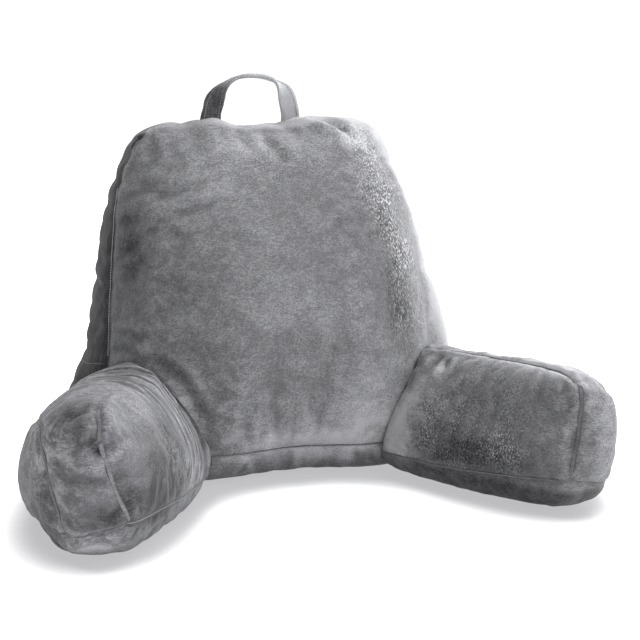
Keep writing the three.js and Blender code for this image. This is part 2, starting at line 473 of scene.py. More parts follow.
@dataclass(frozen=True)
class PlushFinish:
    """Short dense pile, pale where it is brushed one way and dark where it is brushed the other, with
    painted light and shade laid over it.

    Attributes:
        name: The material's name.
        deep: Colour of pile that faces away.
        mid: Its usual colour.
        pale: Colour of pile that catches the light.
        flash: Colour of single bright tufts.
        sheen: Strength of the soft glow at grazing angles.
        patch: Size of the random patches of lighter and darker pile.
        smudge: Size of the ragged smudges.
        hair: Length and thickness of a tuft of pile.
        fleck: Length and thickness of a bright tuft.
        fleck_turn: How the bright tufts lean.
        gather: Length and spacing of the fine gathers.
        gather_turn: How their lines are turned.
        lift: Height of the pile's grain.
    """

    name: str
    deep: Colour = (0.015, 0.0151, 0.0165)
    mid: Colour = (0.086, 0.0866, 0.092)
    pale: Colour = (0.265, 0.267, 0.278)
    flash: Colour = (0.52, 0.524, 0.535)
    sheen: float = 0.13
    patch: float = 0.055
    smudge: float = 0.024
    hair: tuple[float, float] = (0.0046, 0.0016)
    fleck: tuple[float, float] = (0.0110, 0.0020)
    fleck_turn: Place = (0.0, 0.30, 0.0)
    gather: tuple[float, float] = (0.17, 0.0042)
    gather_turn: Place = (-0.757, 0.0, 0.0)
    lift: float = 0.0012

    def make(self) -> bpy.types.Material:
        """Builds the plush.

        Returns:
            The material.
        """
        shader = Shader.of_material(self.name)
        long, fine = self.hair
        tall, thin = self.fleck
        broad = shader.lumps(self.patch, 5.0, 0.6, 0.6)
        flat_lump = (self.smudge, self.smudge, self.smudge * 0.7)
        smudge = shader.streaks(flat_lump, detail=7.0, rough=0.72, warp=0.5)
        grain = shader.streaks((long, long, fine), detail=2.0, warp=1.8)
        tufts = shader.streaks((thin, thin, tall), self.fleck_turn, 1.5, 0.55, 0.25)
        gather_long, gather_apart = self.gather
        gather_size = (gather_long, gather_apart, gather_long)
        lines = shader.streaks(gather_size, self.gather_turn, 2.0, 0.5, 0.6)
        nap, hollow = shader.painted("nap"), shader.painted("hollow")
        fleck, mottle, gathered = shader.painted("fleck"), shader.painted("mottle"), shader.painted("gather")
        # The painted tone carries painted light and shade from the painted points, besides the pile's own
        # random tone and grain.
        tone_and_painted_light = nap + (broad - 0.5) * 0.65 + (smudge.step(0.40, 0.60) - 0.5) * mottle
        # Along the gathers the tone follows their lines: painted light on their crests and painted shade in
        # their troughs.
        tone_and_painted_light = tone_and_painted_light + (grain.step(0.38, 0.62) - 0.5) * 0.44 + (lines.step(0.38, 0.62) - 0.5) * gathered
        tone_and_painted_light = tone_and_painted_light - (1 - tufts.step(0.34, 0.48)) * fleck * 0.9
        # The ramp is darkened by painted shade in hollows and seam valleys, and lightened by painted light
        # on ridges.
        shade = shader.node(
            "ShaderNodeValToRGB",
            {"stops": [(0.0, self.deep), (0.5, self.mid), (1.0, self.pale)]},
            {0: tone_and_painted_light * 0.5 + 0.5 - hollow * 0.11},
        )
        spark = tufts.step(0.52, 0.66) * fleck
        colour = shader.blend(spark, Value(shader, shade.outputs[0]), opaque(self.flash))
        grainy = shader.bump(grain + tufts * fleck, self.lift, 0.7)
        gathers = shader.bump(lines * gathered, self.lift * 2.0, 0.8, grainy)
        return shader.finish(
            {
                "Base Color": colour,
                "Roughness": 0.92 - spark * 0.25,
                "Normal": gathers,
                "Sheen Weight": self.sheen,
                "Sheen Roughness": 0.42,
                "Sheen Tint": opaque((0.93, 0.94, 0.97)),
                "Specular IOR Level": 0.25,
            }
        )


@dataclass(frozen=True)
class ThreadFinish:
    """Twisted sewing thread.

    Attributes:
        name: The material's name.
        tone: Its colour.
    """

    name: str
    tone: Colour

    def make(self) -> bpy.types.Material:
        """Builds the thread.

        Returns:
            The material.
        """
        shader = Shader.of_material(self.name)
        twist = shader.streaks((0.0006, 0.0006, 0.0012))
        low = tuple(0.75 * c for c in self.tone)
        colour = shader.blend(twist, opaque(low), opaque(self.tone))
        return shader.finish(
            {
                "Base Color": colour,
                "Roughness": 0.55 + twist * 0.25,
                "Normal": shader.bump(twist, 0.0003, 0.5),
                "Sheen Weight": 0.2,
            }
        )


@dataclass(frozen=True)
class FloorFinish:
    """White light table with a painted contact shadow, darker where the pillow stands close over it.

    Attributes:
        tone: Its colour in the open.
        shaded: Its colour in the painted shadow right beside the pillow.
        glow: Light that comes through it in the open.
        dim: Its glow in the painted shadow right beside the pillow.
        reach: How far the pillow's shade reaches.
    """

    tone: Colour = (0.55, 0.55, 0.55)
    shaded: Colour = (0.04, 0.04, 0.042)
    glow: Colour = (1.3, 1.3, 1.3)
    dim: Colour = (0.50, 0.50, 0.515)
    reach: float = 0.095

    def make(self) -> bpy.types.Material:
        """Builds the floor.

        Returns:
            The material.
        """
        shader = Shader.of_material("studio_floor")
        # Painted contact shadow: the floor's colour and glow fall off with ambient occlusion near the
        # pillow.
        around = shader.node("ShaderNodeAmbientOcclusion", {"samples": 16}, {"Distance": self.reach})
        openness = Value(shader, around.outputs["AO"]).step(0.40, 1.0)
        return shader.finish(
            {
                "Base Color": shader.blend(openness, opaque(self.shaded), opaque(self.tone)),
                "Roughness": 0.9,
                "Specular IOR Level": 0.1,
                "Emission Color": shader.blend(openness, opaque(self.dim), opaque(self.glow)),
                "Emission Strength": 1.0,
            }
        )


# Mesh work


def new_piece(name: str, mesh: bpy.types.Mesh, material: bpy.types.Material) -> bpy.types.Object:
    """Adds a smooth-shaded object at the origin with its material.

    Args:
        name: The object's name.
        mesh: Its mesh, already in place.
        material: Its finish.

    Returns:
        The object.
    """
    mesh.name = name
    mesh.materials.clear()
    mesh.materials.append(material)
    mesh.shade_smooth()
    piece = bpy.data.objects.new(name, mesh)
    bpy.context.scene.collection.objects.link(piece)
    return piece


def part_of_pillow(piece: bpy.types.Object, *nodes: str) -> None:
    """Puts a piece on the pillow's body and hides the solids that it replaces.

    Args:
        piece: The piece.
        nodes: The solids that it replaces.
    """
    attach(piece, BODY)
    if nodes:
        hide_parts(*nodes)
    triangles = sum(len(p.vertices) - 2 for p in piece.data.polygons)
    LOG.info("%s: %d triangles", piece.name, triangles)


def apply_modifiers(piece: bpy.types.Object) -> None:
    """Makes a piece's modifiers part of its mesh.

    Args:
        piece: The piece.
    """
    depsgraph = bpy.context.evaluated_depsgraph_get()
    mesh = bpy.data.meshes.new_from_object(piece.evaluated_get(depsgraph))
    old = piece.data
    piece.modifiers.clear()
    piece.data = mesh
    mesh.name = old.name
    bpy.data.meshes.remove(old)


def points_of(mesh: bpy.types.Mesh) -> np.ndarray:
    """Reads a mesh's points.

    Args:
        mesh: The mesh.

    Returns:
        The points, one row each.
    """
    points = np.zeros(len(mesh.vertices) * 3)
    mesh.vertices.foreach_get("co", points)
    return points.reshape(-1, 3)


def normals_of(mesh: bpy.types.Mesh) -> np.ndarray:
    """Reads the normals at a mesh's points.

    Args:
        mesh: The mesh.

    Returns:
        The normals, one row each.
    """
    normals = np.zeros(len(mesh.vertices) * 3, np.float32)
    mesh.vertex_normals.foreach_get("vector", normals)
    return normals.astype(float).reshape(-1, 3)


def move_points(mesh: bpy.types.Mesh, points: np.ndarray) -> None:
    """Puts a mesh's points at new places."""
    mesh.vertices.foreach_set("co", points.ravel())
    mesh.update()


def paint(mesh: bpy.types.Mesh, name: str, values: np.ndarray) -> None:
    """Writes one number for each point of a mesh as an attribute."""
    attribute = mesh.attributes.new(name, "FLOAT", "POINT")
    attribute.data.foreach_set("value", values.astype(np.float32))


def spread(mesh: bpy.types.Mesh, values: np.ndarray, rounds: int) -> np.ndarray:
    """Averages a value at each point with its neighbours', again and again.

    Args:
        mesh: The mesh.
        values: One row of numbers for each point.
        rounds: How often.

    Returns:
        The averaged rows.
    """
    edges = np.zeros(len(mesh.edges) * 2, int)
    mesh.edges.foreach_get("vertices", edges)
    a, b = edges.reshape(-1, 2).T
    count = len(mesh.vertices)
    share = np.maximum(np.bincount(a, minlength=count) + np.bincount(b, minlength=count), 1)
    rows = values.copy()
    for _ in range(rounds):
        total = np.stack(
            [
                np.bincount(a, rows[b, k], count) + np.bincount(b, rows[a, k], count)
                for k in range(rows.shape[1])
            ],
            1,
        )
        rows = 0.5 * rows + 0.5 * total / share[:, None]
    return rows


def solid_mesh(node: str) -> bmesh.types.BMesh:
    """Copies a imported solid's mesh and merges its points.

    Args:
        node: The solid.

    Returns:
        The copy.
    """
    bm = bmesh.new()
    bm.from_mesh(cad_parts[node].data)
    bmesh.ops.remove_doubles(bm, verts=bm.verts, dist=0.01 * MILLIMETRE)
    return bm


def surface_of(node: str) -> BVHTree:
    """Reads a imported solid's surface for measuring.

    Args:
        node: The solid.

    Returns:
        The surface.
    """
    bm = solid_mesh(node)
    tree = BVHTree.FromBMesh(bm)
    bm.free()
    return tree


@dataclass
class Stations:
    """Places along a path with a direction across it and one out of the surface.

    Attributes:
        centres: The places, one row each.
        across: Unit directions across the path.
        out: Unit directions out of the surface.
    """

    centres: np.ndarray
    across: np.ndarray
    out: np.ndarray

    @classmethod
    def on_surface(cls, path: Path, tree: BVHTree, proud: float) -> "Stations":
        """Stands stations on a surface.

        Args:
            path: The line they follow.
            tree: The surface.
            proud: How far out of it they stand.

        Returns:
            The stations.
        """
        out = []
        for p in path.points:
            _, normal, _, _ = tree.find_nearest(Vector(p))
            out.append(normal)
        out = Path(np.array(out, float)).softened(2).points
        ahead = unit(np.gradient(path.points, axis=0))
        across = unit(np.cross(ahead, out))
        out = np.cross(across, ahead)
        return cls(path.points + proud * out, across, out)

    def even(self, step: float) -> "Stations":
        """Spaces the stations evenly.

        Args:
            step: How far apart they stand.

        Returns:
            The new stations, with the directions read off in proportion.
        """
        centres = Path(self.centres).even(step).points
        at, had = np.linspace(0, 1, len(centres)), np.linspace(0, 1, len(self.centres))
        across = np.stack([np.interp(at, had, self.across[:, k]) for k in range(3)], 1)
        out = np.stack([np.interp(at, had, self.out[:, k]) for k in range(3)], 1)
        return Stations(centres, across, out)

    def matrix(self, i: int, wide: float, high: float) -> Matrix:
        """Places a unit profile at one station.

        Args:
            i: The station.
            wide: Scale across the path.
            high: Scale out of the surface.

        Returns:
            The placing.
        """
        across, out = Vector(self.across[i]), Vector(self.out[i])
        ahead = out.cross(across)
        turn = Matrix((across, out, ahead)).transposed().to_4x4()
        return Matrix.Translation(Vector(self.centres[i])) @ turn @ Matrix.Diagonal((wide, high, 1, 1))


def sweep(
    stations: Stations,
    wide: np.ndarray,
    high: np.ndarray,
    sides: int,
    shape: Callable[[Vector], Vector],
) -> bpy.types.Mesh:
    """Draws a closed profile along stations.

    Args:
        stations: Where it goes.
        wide: Half width at each station.
        high: Half height at each station.
        sides: Corners of the profile.
        shape: Takes a point of the unit circle to the profile.

    Returns:
        The closed mesh.
    """
    bm = bmesh.new()
    ring = bmesh.ops.create_circle(bm, segments=sides, radius=1.0)["verts"]
    for v in ring:
        v.co = shape(v.co)
    placed = stations.matrix(0, wide[0], high[0])
    bmesh.ops.transform(bm, matrix=placed, verts=ring)
    edges = list(bm.edges)
    for i in range(1, len(stations.centres)):
        made = bmesh.ops.extrude_edge_only(bm, edges=edges)["geom"]
        edges = [g for g in made if isinstance(g, bmesh.types.BMEdge)]
        verts = [g for g in made if isinstance(g, bmesh.types.BMVert)]
        moved = stations.matrix(i, wide[i], high[i])
        bmesh.ops.transform(bm, matrix=moved @ placed.inverted(), verts=verts)
        placed = moved
    bmesh.ops.holes_fill(bm, edges=[e for e in bm.edges if e.is_boundary], sides=0)
    bmesh.ops.recalc_face_normals(bm, faces=bm.faces)
    mesh = bpy.data.meshes.new("sweep")
    bm.to_mesh(mesh)
    bm.free()
    return mesh


def flattened(corner: Vector) -> Vector:
    """Takes a point of the unit circle to a section with a flat top."""
    x, y, _ = corner
    return Vector((math.copysign(abs(x) ** 0.8, x), math.copysign(abs(y) ** 0.55, y), 0))


def folded(corner: Vector) -> Vector:
    """Takes a point of the unit circle to the section of a folded strap.

    Args:
        corner: The point.

    Returns:
        The point of the section, whose edges are fuller than its middle.
    """
    x, y, _ = corner
    u = math.copysign(abs(x) ** 0.6, x)
    v = math.copysign(abs(y) ** 0.45, y) * (0.72 + 0.28 * bell(abs(u) - 0.86, 0.12))
    return Vector((u, v, 0))


def joined(meshes: Iterable[bpy.types.Mesh]) -> bpy.types.Mesh:
    """Joins meshes into one and removes the originals.

    Args:
        meshes: The meshes.

    Returns:
        The joined mesh.
    """
    bm = bmesh.new()
    for mesh in meshes:
        bm.from_mesh(mesh)
        bpy.data.meshes.remove(mesh)
    out = bpy.data.meshes.new("joined")
    bm.to_mesh(out)
    bm.free()
    return out


# Sewing


@dataclass
class Seam:
    """A sewn line between two panels.

    Attributes:
        name: Its name. Not used.
        path: Its line.
        draw: How deep the sewing draws the cloth in.
        wide: Half width of that valley.
        pucker: Height of the puckers beside it.
        pitch: Typical distance between puckers.
        reach: How far the puckers run from it.
        welt: Half width of the folded edge that shows along it, or 0 for none.
        firm: Whether the panels meet in a crease there.
        seed: Picks the puckers.
    """

    name: str
    path: Path
    draw: float = 0.0030
    wide: float = 0.0042
    pucker: float = 0.0011
    pitch: float = 0.021
    reach: float = 0.020
    welt: float = 0.0017
    firm: bool = True
    seed: int = 1

    def lift(self, points: np.ndarray) -> np.ndarray:
        """Draws the cloth in at the seam and puckers it beside it.

        Args:
            points: The points, one row each.

        Returns:
            How far each point rises, or sinks below 0.
        """
        gap, along = self.path.nearest(points)
        uneven = 0.75 + 0.35 * ripple(along, 0.05, self.seed + 40)
        valley = -self.draw * uneven * bell(gap, self.wide)
        roll = 0.42 * self.draw * uneven * bell(gap - 0.013, 0.0065)
        slanted = along + 0.5 * gap * ripple(along, 0.12, self.seed + 80)
        strength = 0.55 + 0.55 * ripple(along, 0.09, self.seed + 60)
        waves = ripple(slanted, self.pitch, self.seed)
        fade = np.exp(-((gap / self.reach) ** 2)) * ease_in(gap, 0.0, 0.005)
        return valley + roll + self.pucker * strength * waves * fade


@dataclass
class Fold:
    """A soft crease in a panel, with the cloth raised beside it.

    Attributes:
        path: Its line.
        wide: Half width of the crease.
        deep: Its depth. A negative depth is a ridge.
        raised: Share of the depth that the cloth rises on each side.
    """

    path: tuple[Place, ...]
    wide: float
    deep: float
    raised: float = 0.35

    def lift(self, points: np.ndarray) -> np.ndarray:
        """Creases the cloth.

        Args:
            points: The points, one row each.

        Returns:
            How far each point rises, or sinks below 0.
        """
        path = Path(np.array(self.path, float)).even(0.004).softened(6)
        gap, along = path.nearest(points, 6 * self.wide)
        end = np.clip(along / path.length(), 0, 1)
        taper = np.clip(4 * end * (1 - end), 0, 1) ** 0.6
        crease = -bell(gap, self.wide)
        shoulder = self.raised * bell(gap - 2.3 * self.wide, self.wide)
        return self.deep * taper * (crease + shoulder)


@dataclass
class PaintedPatch:
    """A soft patch of painted tone, which carries painted light and shade together with pile brushed one
    way. The mottle tables use it for how smudged the pile is.

    Attributes:
        at: Its middle.
        size: Its reach along X, Y and Z.
        nap: How pale (above 0) or dark (below 0) it looks, from painted light and shade and from pile tone.
    """

    at: Place
    size: Place
    nap: float

    def shade(self, points: np.ndarray, warped: np.ndarray) -> np.ndarray:
        """Returns the patch's share of the painted tone at some points, its outline broken by a warp."""
        t = (points - np.array(self.at)) / np.array(self.size)
        return self.nap * np.exp(-np.maximum((t**2).sum(1) + 0.5 * warped, 0))


@dataclass
class Stitching:
    """A row of thread stitches laid along a seam.

    Attributes:
        pitch: Length of one stitch with its gap.
        long: Half length of the thread that shows.
        thick: Half thickness of the thread.
        proud: How far it stands out of the cloth.
    """

    pitch: float = 0.0036
    long: float = 0.0016
    thick: float = 0.00046
    proud: float = 0.0009

    def lay(self, stations: Stations, bare: int = 0) -> bpy.types.Mesh:
        """Lays a stitch at each station.

        Args:
            stations: Where they lie.
            bare: How many stations at each end stay bare.

        Returns:
            The stitches as one mesh.
        """
        bm = bmesh.new()
        size = Matrix.Diagonal((self.thick, self.thick, self.long, 1))
        for i in range(bare, len(stations.centres) - bare):
            place = stations.matrix(i, 1, 1) @ size
            bmesh.ops.create_icosphere(bm, subdivisions=1, radius=1.0, matrix=place)
        mesh = bpy.data.meshes.new("stitches")
        bm.to_mesh(mesh)
        bm.free()
        return mesh

    def along(self, path: Path, tree: BVHTree) -> bpy.types.Mesh:
        """Returns the stitches along a line on a surface as one mesh."""
        return self.lay(Stations.on_surface(path.even(self.pitch), tree, self.proud))


# The stuffed cushions


@dataclass
class Cushion:
    """A stuffed piece of the pillow, made over its solid.

    Attributes:
        node: The solid that it replaces.
        name: The piece's name.
        voxel: Size of its faces before they are divided.
        fill: How tight it is stuffed. Not used.
        pressure: Pressure of the filling in the simulation.
        slack: Share of spare cloth in its panels.
        cap: How far the simulation may move a point.
        kept: Share of the swelling as a whole that stays.
        frames: Length of the simulation.
        welt_high: Half height of the folded edges along its seams.
        welt_step: Distance between their stations.
        welt_proud: How far their middle lies above the cloth.
        seams: Its sewn lines.
        folds: Its creases and ridges.
        light_and_tone_patches: Its patches of painted light and shade and of brushed pile.
        mottles: Where its pile is more or less smudged.
        band: Painted shade round its foot, darker towards the floor.
        mottle: How smudged its pile is.
        piece: The finished cushion.
    """

    node: str
    name: str
    voxel: float = 0.006
    fill: float = 0.8
    pressure: float = 4.0
    slack: float = 0.05
    cap: float = 0.007
    kept: float = 0.25
    frames: int = 20
    welt_high: float = 0.00045
    welt_step: float = 0.004
    welt_proud: float = 0.0002
    seams: list[Seam] = field(default_factory=list)
    folds: list[Fold] = field(default_factory=list)
    light_and_tone_patches: list[PaintedPatch] = field(default_factory=list)
    mottles: list[PaintedPatch] = field(default_factory=list)
    band: float = -0.5
    mottle: float = 0.35
    piece: Optional[bpy.types.Object] = None

    def sew(self) -> None:
        """Finds the lines of the seams in the cushions that have them; here it does nothing."""

    def extra_lift(self, points: np.ndarray) -> np.ndarray:
        """Returns folds that only this cushion has."""
        return np.zeros(len(points))

    def fleck(self, points: np.ndarray) -> np.ndarray:
        """Returns how much bright tufts show at some points."""
        return np.zeros(len(points))

    def painted_panel_light(self, points: np.ndarray) -> np.ndarray:
        """Returns the light and shade painted on whole panels at some points: here painted shade round the
        foot.
        """
        return self.band * ease_in(0.040 - points[:, 2], 0.0, 0.012)

    def gathered(self, points: np.ndarray) -> np.ndarray:
        """Returns how strongly the cloth is gathered at some points."""
        return np.zeros(len(points))

    def build(self, material: bpy.types.Material) -> bpy.types.Object:
        """Makes the cushion.

        Args:
            material: Its plush.

        Returns:
            The finished piece.
        """
        self.sew()
        bm = solid_mesh(self.node)
        mesh = bpy.data.meshes.new(self.name)
        bm.to_mesh(mesh)
        bm.free()
        self.piece = new_piece(self.name, mesh, material)
        remesh = self.piece.modifiers.new("even_faces", "REMESH")
        remesh.mode = "VOXEL"
        remesh.voxel_size = self.voxel
        apply_modifiers(self.piece)
        self.soften_facets()
        self.inflate()
        self.divide()
        self.shape()
        self.colour()
        self.piece.data.materials.clear()
        self.piece.data.materials.append(material)
        self.piece.data.shade_smooth()
        part_of_pillow(self.piece, self.node)
        return self.piece

    def seam_gap(self, points: np.ndarray) -> np.ndarray:
        """Measures points against the firm seams.

        Args:
            points: The points, one row each.

        Returns:
            The distance of each from the nearest one.
        """
        gaps = [seam.path.nearest(points)[0] for seam in self.seams if seam.firm]
        return np.min(gaps, axis=0)

    def soften_facets(self) -> None:
        """Rounds away the solid's flat faces, least at the seams."""
        mesh = self.piece.data
        points = points_of(mesh)
        smooth = spread(mesh, points, 14)
        share = 0.35 + 0.65 * ease_in(self.seam_gap(points), 0.0, 0.018)
        moved = points + (smooth - points) * share[:, None]
        moved[:, 2] = np.where(points[:, 2] < 0.004, points[:, 2], moved[:, 2])
        move_points(mesh, moved)

    def inflate(self) -> None:
        """Blows the cushion up between its seams with Blender's cloth, and keeps the folds that come."""
        mesh = self.piece.data
        start = points_of(mesh)
        held = (self.seam_gap(start) < self.voxel) | (start[:, 2] < 0.006)
        pins = self.piece.vertex_groups.new(name="sewn")
        pins.add([int(i) for i in np.nonzero(held)[0]], 1.0, "REPLACE")
        cloth = self.piece.modifiers.new("filling", "CLOTH")
        settings = cloth.settings
        settings.quality = 6
        settings.mass = 0.25
        settings.tension_stiffness = 12
        settings.compression_stiffness = 12
        settings.shear_stiffness = 5
        settings.bending_stiffness = 0.35
        settings.use_pressure = True
        settings.uniform_pressure_force = self.pressure
        settings.shrink_min = -self.slack
        settings.vertex_group_mass = pins.name
        settings.effector_weights.gravity = 0
        cloth.point_cache.frame_start = 1
        cloth.point_cache.frame_end = self.frames
        scene = bpy.context.scene
        for number in range(1, self.frames + 1):
            scene.frame_set(number)
        depsgraph = bpy.context.evaluated_depsgraph_get()
        blown = points_of(self.piece.evaluated_get(depsgraph).data)
        self.piece.modifiers.clear()
        self.piece.vertex_groups.clear()
        scene.frame_set(1)
        move = blown - start
        swelling = spread(mesh, move, 40)
        move = move - (1 - self.kept) * swelling
        size = np.linalg.norm(move, axis=1, keepdims=True)
        move *= self.cap * np.tanh(size / self.cap) / np.maximum(size, 1e-9)
        move_points(mesh, start + spread(mesh, move, 1))
        LOG.info("%s: folds of up to %.1f mm from the filling", self.name, 1000 * size.max())

    def divide(self) -> None:
        """Divides every face once, smoothly."""
        finer = self.piece.modifiers.new("finer", "SUBSURF")
        finer.levels = 1
        finer.render_levels = 1
        apply_modifiers(self.piece)

    def shape(self) -> None:
        """Draws in the seams and adds puckers, folds and the filling's lumps."""
        mesh = self.piece.data
        points = points_of(mesh)
        normals = normals_of(mesh)
        lift = 0.0011 * cloud(points, 0.055, 1.0) + 0.0006 * cloud(points, 0.021, 2.0)
        for seam in self.seams:
            lift += seam.lift(points)
        for fold in self.folds:
            lift += fold.lift(points)
        lift += self.extra_lift(points)
        moved = points + normals * lift[:, None]
        grounded = ease_in(points[:, 2], 0.0, 0.012)[:, None]
        moved = points + (moved - points) * grounded
        moved[:, 2] = np.maximum(moved[:, 2], 0.0002)
        move_points(mesh, moved)

    def colour(self) -> None:
        """Paints the pile's tone with painted light and shade, its flecks, and painted shade in its hollows
        and along its seams.
        """
        mesh = self.piece.data
        points = points_of(mesh)
        warped = cloud(points, 0.035, 4.0) + 0.6 * cloud(points, 0.012, 5.0)
        nap = self.painted_panel_light(points)
        for patch in self.light_and_tone_patches:
            nap += patch.shade(points, warped)
        mottle = np.full(len(points), self.mottle)
        for patch in self.mottles:
            mottle += patch.shade(points, warped)
        gap = self.seam_gap(points)
        normals = normals_of(mesh)
        around = spread(mesh, points, 10)
        sunk = ((around - points) * normals).sum(1)
        paint(mesh, "nap", nap)
        paint(mesh, "mottle", mottle)
        paint(mesh, "gather", self.gathered(points))
        paint(mesh, "fleck", self.fleck(points))
        # Painted shade in hollows and along the firm seams, painted light on ridges.
        paint(mesh, "hollow", np.clip(sunk / 0.0008, -0.8, 1.2) + 0.15 * bell(gap, 0.003))

    def surface(self) -> BVHTree:
        """Reads the finished cushion's surface for measuring.

        Returns:
            The surface.
        """
        mesh = self.piece.data
        faces = [tuple(p.vertices) for p in mesh.polygons]
        return BVHTree.FromPolygons([v.co[:] for v in mesh.vertices], faces)

    def welts(self, name: str, material: bpy.types.Material) -> bpy.types.Object:
        """Makes the folded edges that show along the seams, as one piece.

        Args:
            name: The piece's name.
            material: Its plush.

        Returns:
            The finished piece.
        """
        tree = self.surface()
        meshes = []
        for seam in self.seams:
            if seam.welt <= 0:
                continue
            path = seam.path.even(self.welt_step).laid_on(tree, ON_SURFACE).softened(1)
            if len(path.points) < 4:
                continue
            stations = Stations.on_surface(path, tree, self.welt_proud)
            count = len(path.points)
            run = np.arange(count) * self.welt_step
            wide = seam.welt * (1 + 0.12 * ripple(run, 0.03, seam.seed + 5))
            taper = np.clip(np.minimum(np.arange(count), np.arange(count)[::-1]) / 3, 0.15, 1)
            high = self.welt_high * taper * (1 + 0.2 * ripple(run, 0.018, seam.seed + 6))
            ribbon = sweep(stations, wide * taper, high, 14, flattened)
            places = points_of(ribbon)
            places[:, 2] = np.maximum(places[:, 2], FLOOR_GAP)
            move_points(ribbon, places)
            gap, _ = Path(stations.centres).nearest(points_of(ribbon))
            # Painted shade along the ribbon's edges, where it meets the cloth.
            edge = ease_in(gap / seam.welt, 0.62, 0.92)
            paint(ribbon, "nap", -0.08 - 0.7 * edge)
            meshes.append(ribbon)
        mesh = joined(meshes)
        welts = new_piece(name, mesh, material)
        part_of_pillow(welts)
        return welts


# Height, half width at the side seams, and depth of the front and back seams.
BACK_RAILS = (
    (0.042, 0.234, -0.030, 0.118),
    (0.090, 0.230, -0.024, 0.124),
    (0.150, 0.221, -0.015, 0.126),
    (0.220, 0.214, -0.004, 0.126),
    (0.300, 0.204, 0.007, 0.126),
    (0.370, 0.189, 0.015, 0.124),
    (0.420, 0.169, 0.021, 0.122),
    (0.434, 0.161, 0.023, 0.121),
)

RAIL_FOOT = BACK_RAILS[0][0]
RAIL_TOP = BACK_RAILS[-1][0]

# The left front seam, which runs further round the side towards the top: X, Y and Z.
LEFT_RAIL = (
    (-0.234, -0.030, 0.042),
    (-0.228, -0.022, 0.090),
    (-0.220, -0.014, 0.158),
    (-0.215, -0.001, 0.220),
    (-0.209, 0.013, 0.300),
    (-0.201, 0.027, 0.353),
    (-0.190, 0.040, 0.400),
    (-0.177, 0.047, 0.432),
)

# The short seam across each side strip, on the left: X, Y and Z.
GUSSET_LINE = (
    (-0.227, -0.008, 0.142),
    (-0.243, 0.020, 0.136),
    (-0.248, 0.060, 0.133),
    (-0.244, 0.116, 0.132),
)

# Lumps along the top seams: place, width and rise.
TOP_LUMPS = (
    (-0.130, 0.020, 0.003),
    (-0.102, 0.012, -0.006),
    (-0.066, 0.020, 0.006),
    (-0.024, 0.020, -0.008),
    (0.024, 0.018, -0.004),
    (0.060, 0.020, 0.008),
    (0.102, 0.014, 0.003),
    (0.142, 0.022, 0.012),
)

# Creases and ridges of the front panel and the top, as given lines.
BACK_FOLDS = (
    Fold(((0.050, 0.040, 0.462), (0.084, 0.018, 0.448), (0.109, 0.007, 0.431)), 0.007, -0.0045, 0.2),
    Fold(
        ((0.062, 0.034, 0.462), (0.097, 0.036, 0.455), (0.112, 0.016, 0.443), (0.122, 0.004, 0.425)),
        0.006,
        0.0065,
    ),
    Fold(((0.128, 0.024, 0.452), (0.136, 0.010, 0.432), (0.140, 0.000, 0.410)), 0.008, 0.003),
    Fold(((-0.162, 0.029, 0.436), (-0.156, 0.014, 0.422), (-0.150, -0.002, 0.400)), 0.007, 0.005),
    Fold(((-0.172, 0.036, 0.428), (-0.158, 0.026, 0.442)), 0.014, -0.0040, 0.0),
    Fold(((-0.178, 0.042, 0.417), (-0.170, 0.037, 0.430), (-0.161, 0.034, 0.440)), 0.0050, 0.0080, 0.5),
    Fold(((-0.188, 0.028, 0.392), (-0.161, -0.014, 0.378), (-0.134, -0.047, 0.356)), 0.009, 0.0030),
    Fold(((-0.182, 0.010, 0.410), (-0.160, -0.010, 0.404), (-0.138, -0.030, 0.390)), 0.008, 0.0022),
    Fold(
        ((-0.198, 0.013, 0.338), (-0.168, -0.038, 0.325), (-0.137, -0.069, 0.314), (-0.112, -0.094, 0.289)),
        0.008,
        0.0026,
    ),
    Fold(((-0.202, 0.005, 0.305), (-0.190, -0.024, 0.297), (-0.172, -0.048, 0.288)), 0.008, 0.0020),
    Fold(((-0.205, 0.000, 0.275), (-0.192, -0.026, 0.264), (-0.178, -0.048, 0.262)), 0.008, 0.0015),
    Fold(((-0.213, -0.016, 0.190), (-0.192, -0.066, 0.186), (-0.168, -0.094, 0.176)), 0.007, 0.0034),
    Fold(
        ((-0.215, -0.022, 0.169), (-0.192, -0.068, 0.167), (-0.171, -0.096, 0.158), (-0.153, -0.112, 0.153)),
        0.0060,
        0.0036,
    ),
    Fold(
        ((-0.174, -0.092, 0.172), (-0.158, -0.106, 0.156), (-0.144, -0.120, 0.138), (-0.130, -0.131, 0.112)),
        0.0065,
        0.0032,
    ),
    Fold(
        ((-0.150, -0.118, 0.150), (-0.132, -0.130, 0.122), (-0.120, -0.136, 0.095), (-0.108, -0.138, 0.070)),
        0.007,
        0.0036,
    ),
    Fold(((-0.040, 0.021, 0.444), (-0.033, 0.002, 0.429), (-0.026, -0.016, 0.410)), 0.007, 0.0028),
    Fold(((-0.007, 0.010, 0.434), (0.005, -0.011, 0.418), (0.017, -0.033, 0.397)), 0.008, 0.0030),
    Fold(((-0.100, 0.016, 0.438), (-0.096, 0.000, 0.424), (-0.088, -0.020, 0.402)), 0.009, 0.0026),
    Fold(((0.208, -0.040, 0.230), (0.196, -0.064, 0.200), (0.178, -0.092, 0.180)), 0.009, 0.0024),
    Fold(
        ((0.222, 0.012, 0.245), (0.236, 0.002, 0.200), (0.250, -0.008, 0.150), (0.255, -0.010, 0.120)),
        0.020,
        -0.011,
        0.0,
    ),
    Fold(((0.089, -0.131, 0.034), (0.104, -0.128, 0.022), (0.116, -0.120, 0.010)), 0.005, 0.0034),
    Fold(((0.074, -0.132, 0.036), (0.086, -0.130, 0.022), (0.098, -0.122, 0.009)), 0.005, 0.0026),
    Fold(((-0.100, -0.129, 0.030), (-0.090, -0.133, 0.022), (-0.078, -0.130, 0.012)), 0.006, 0.0026),
)
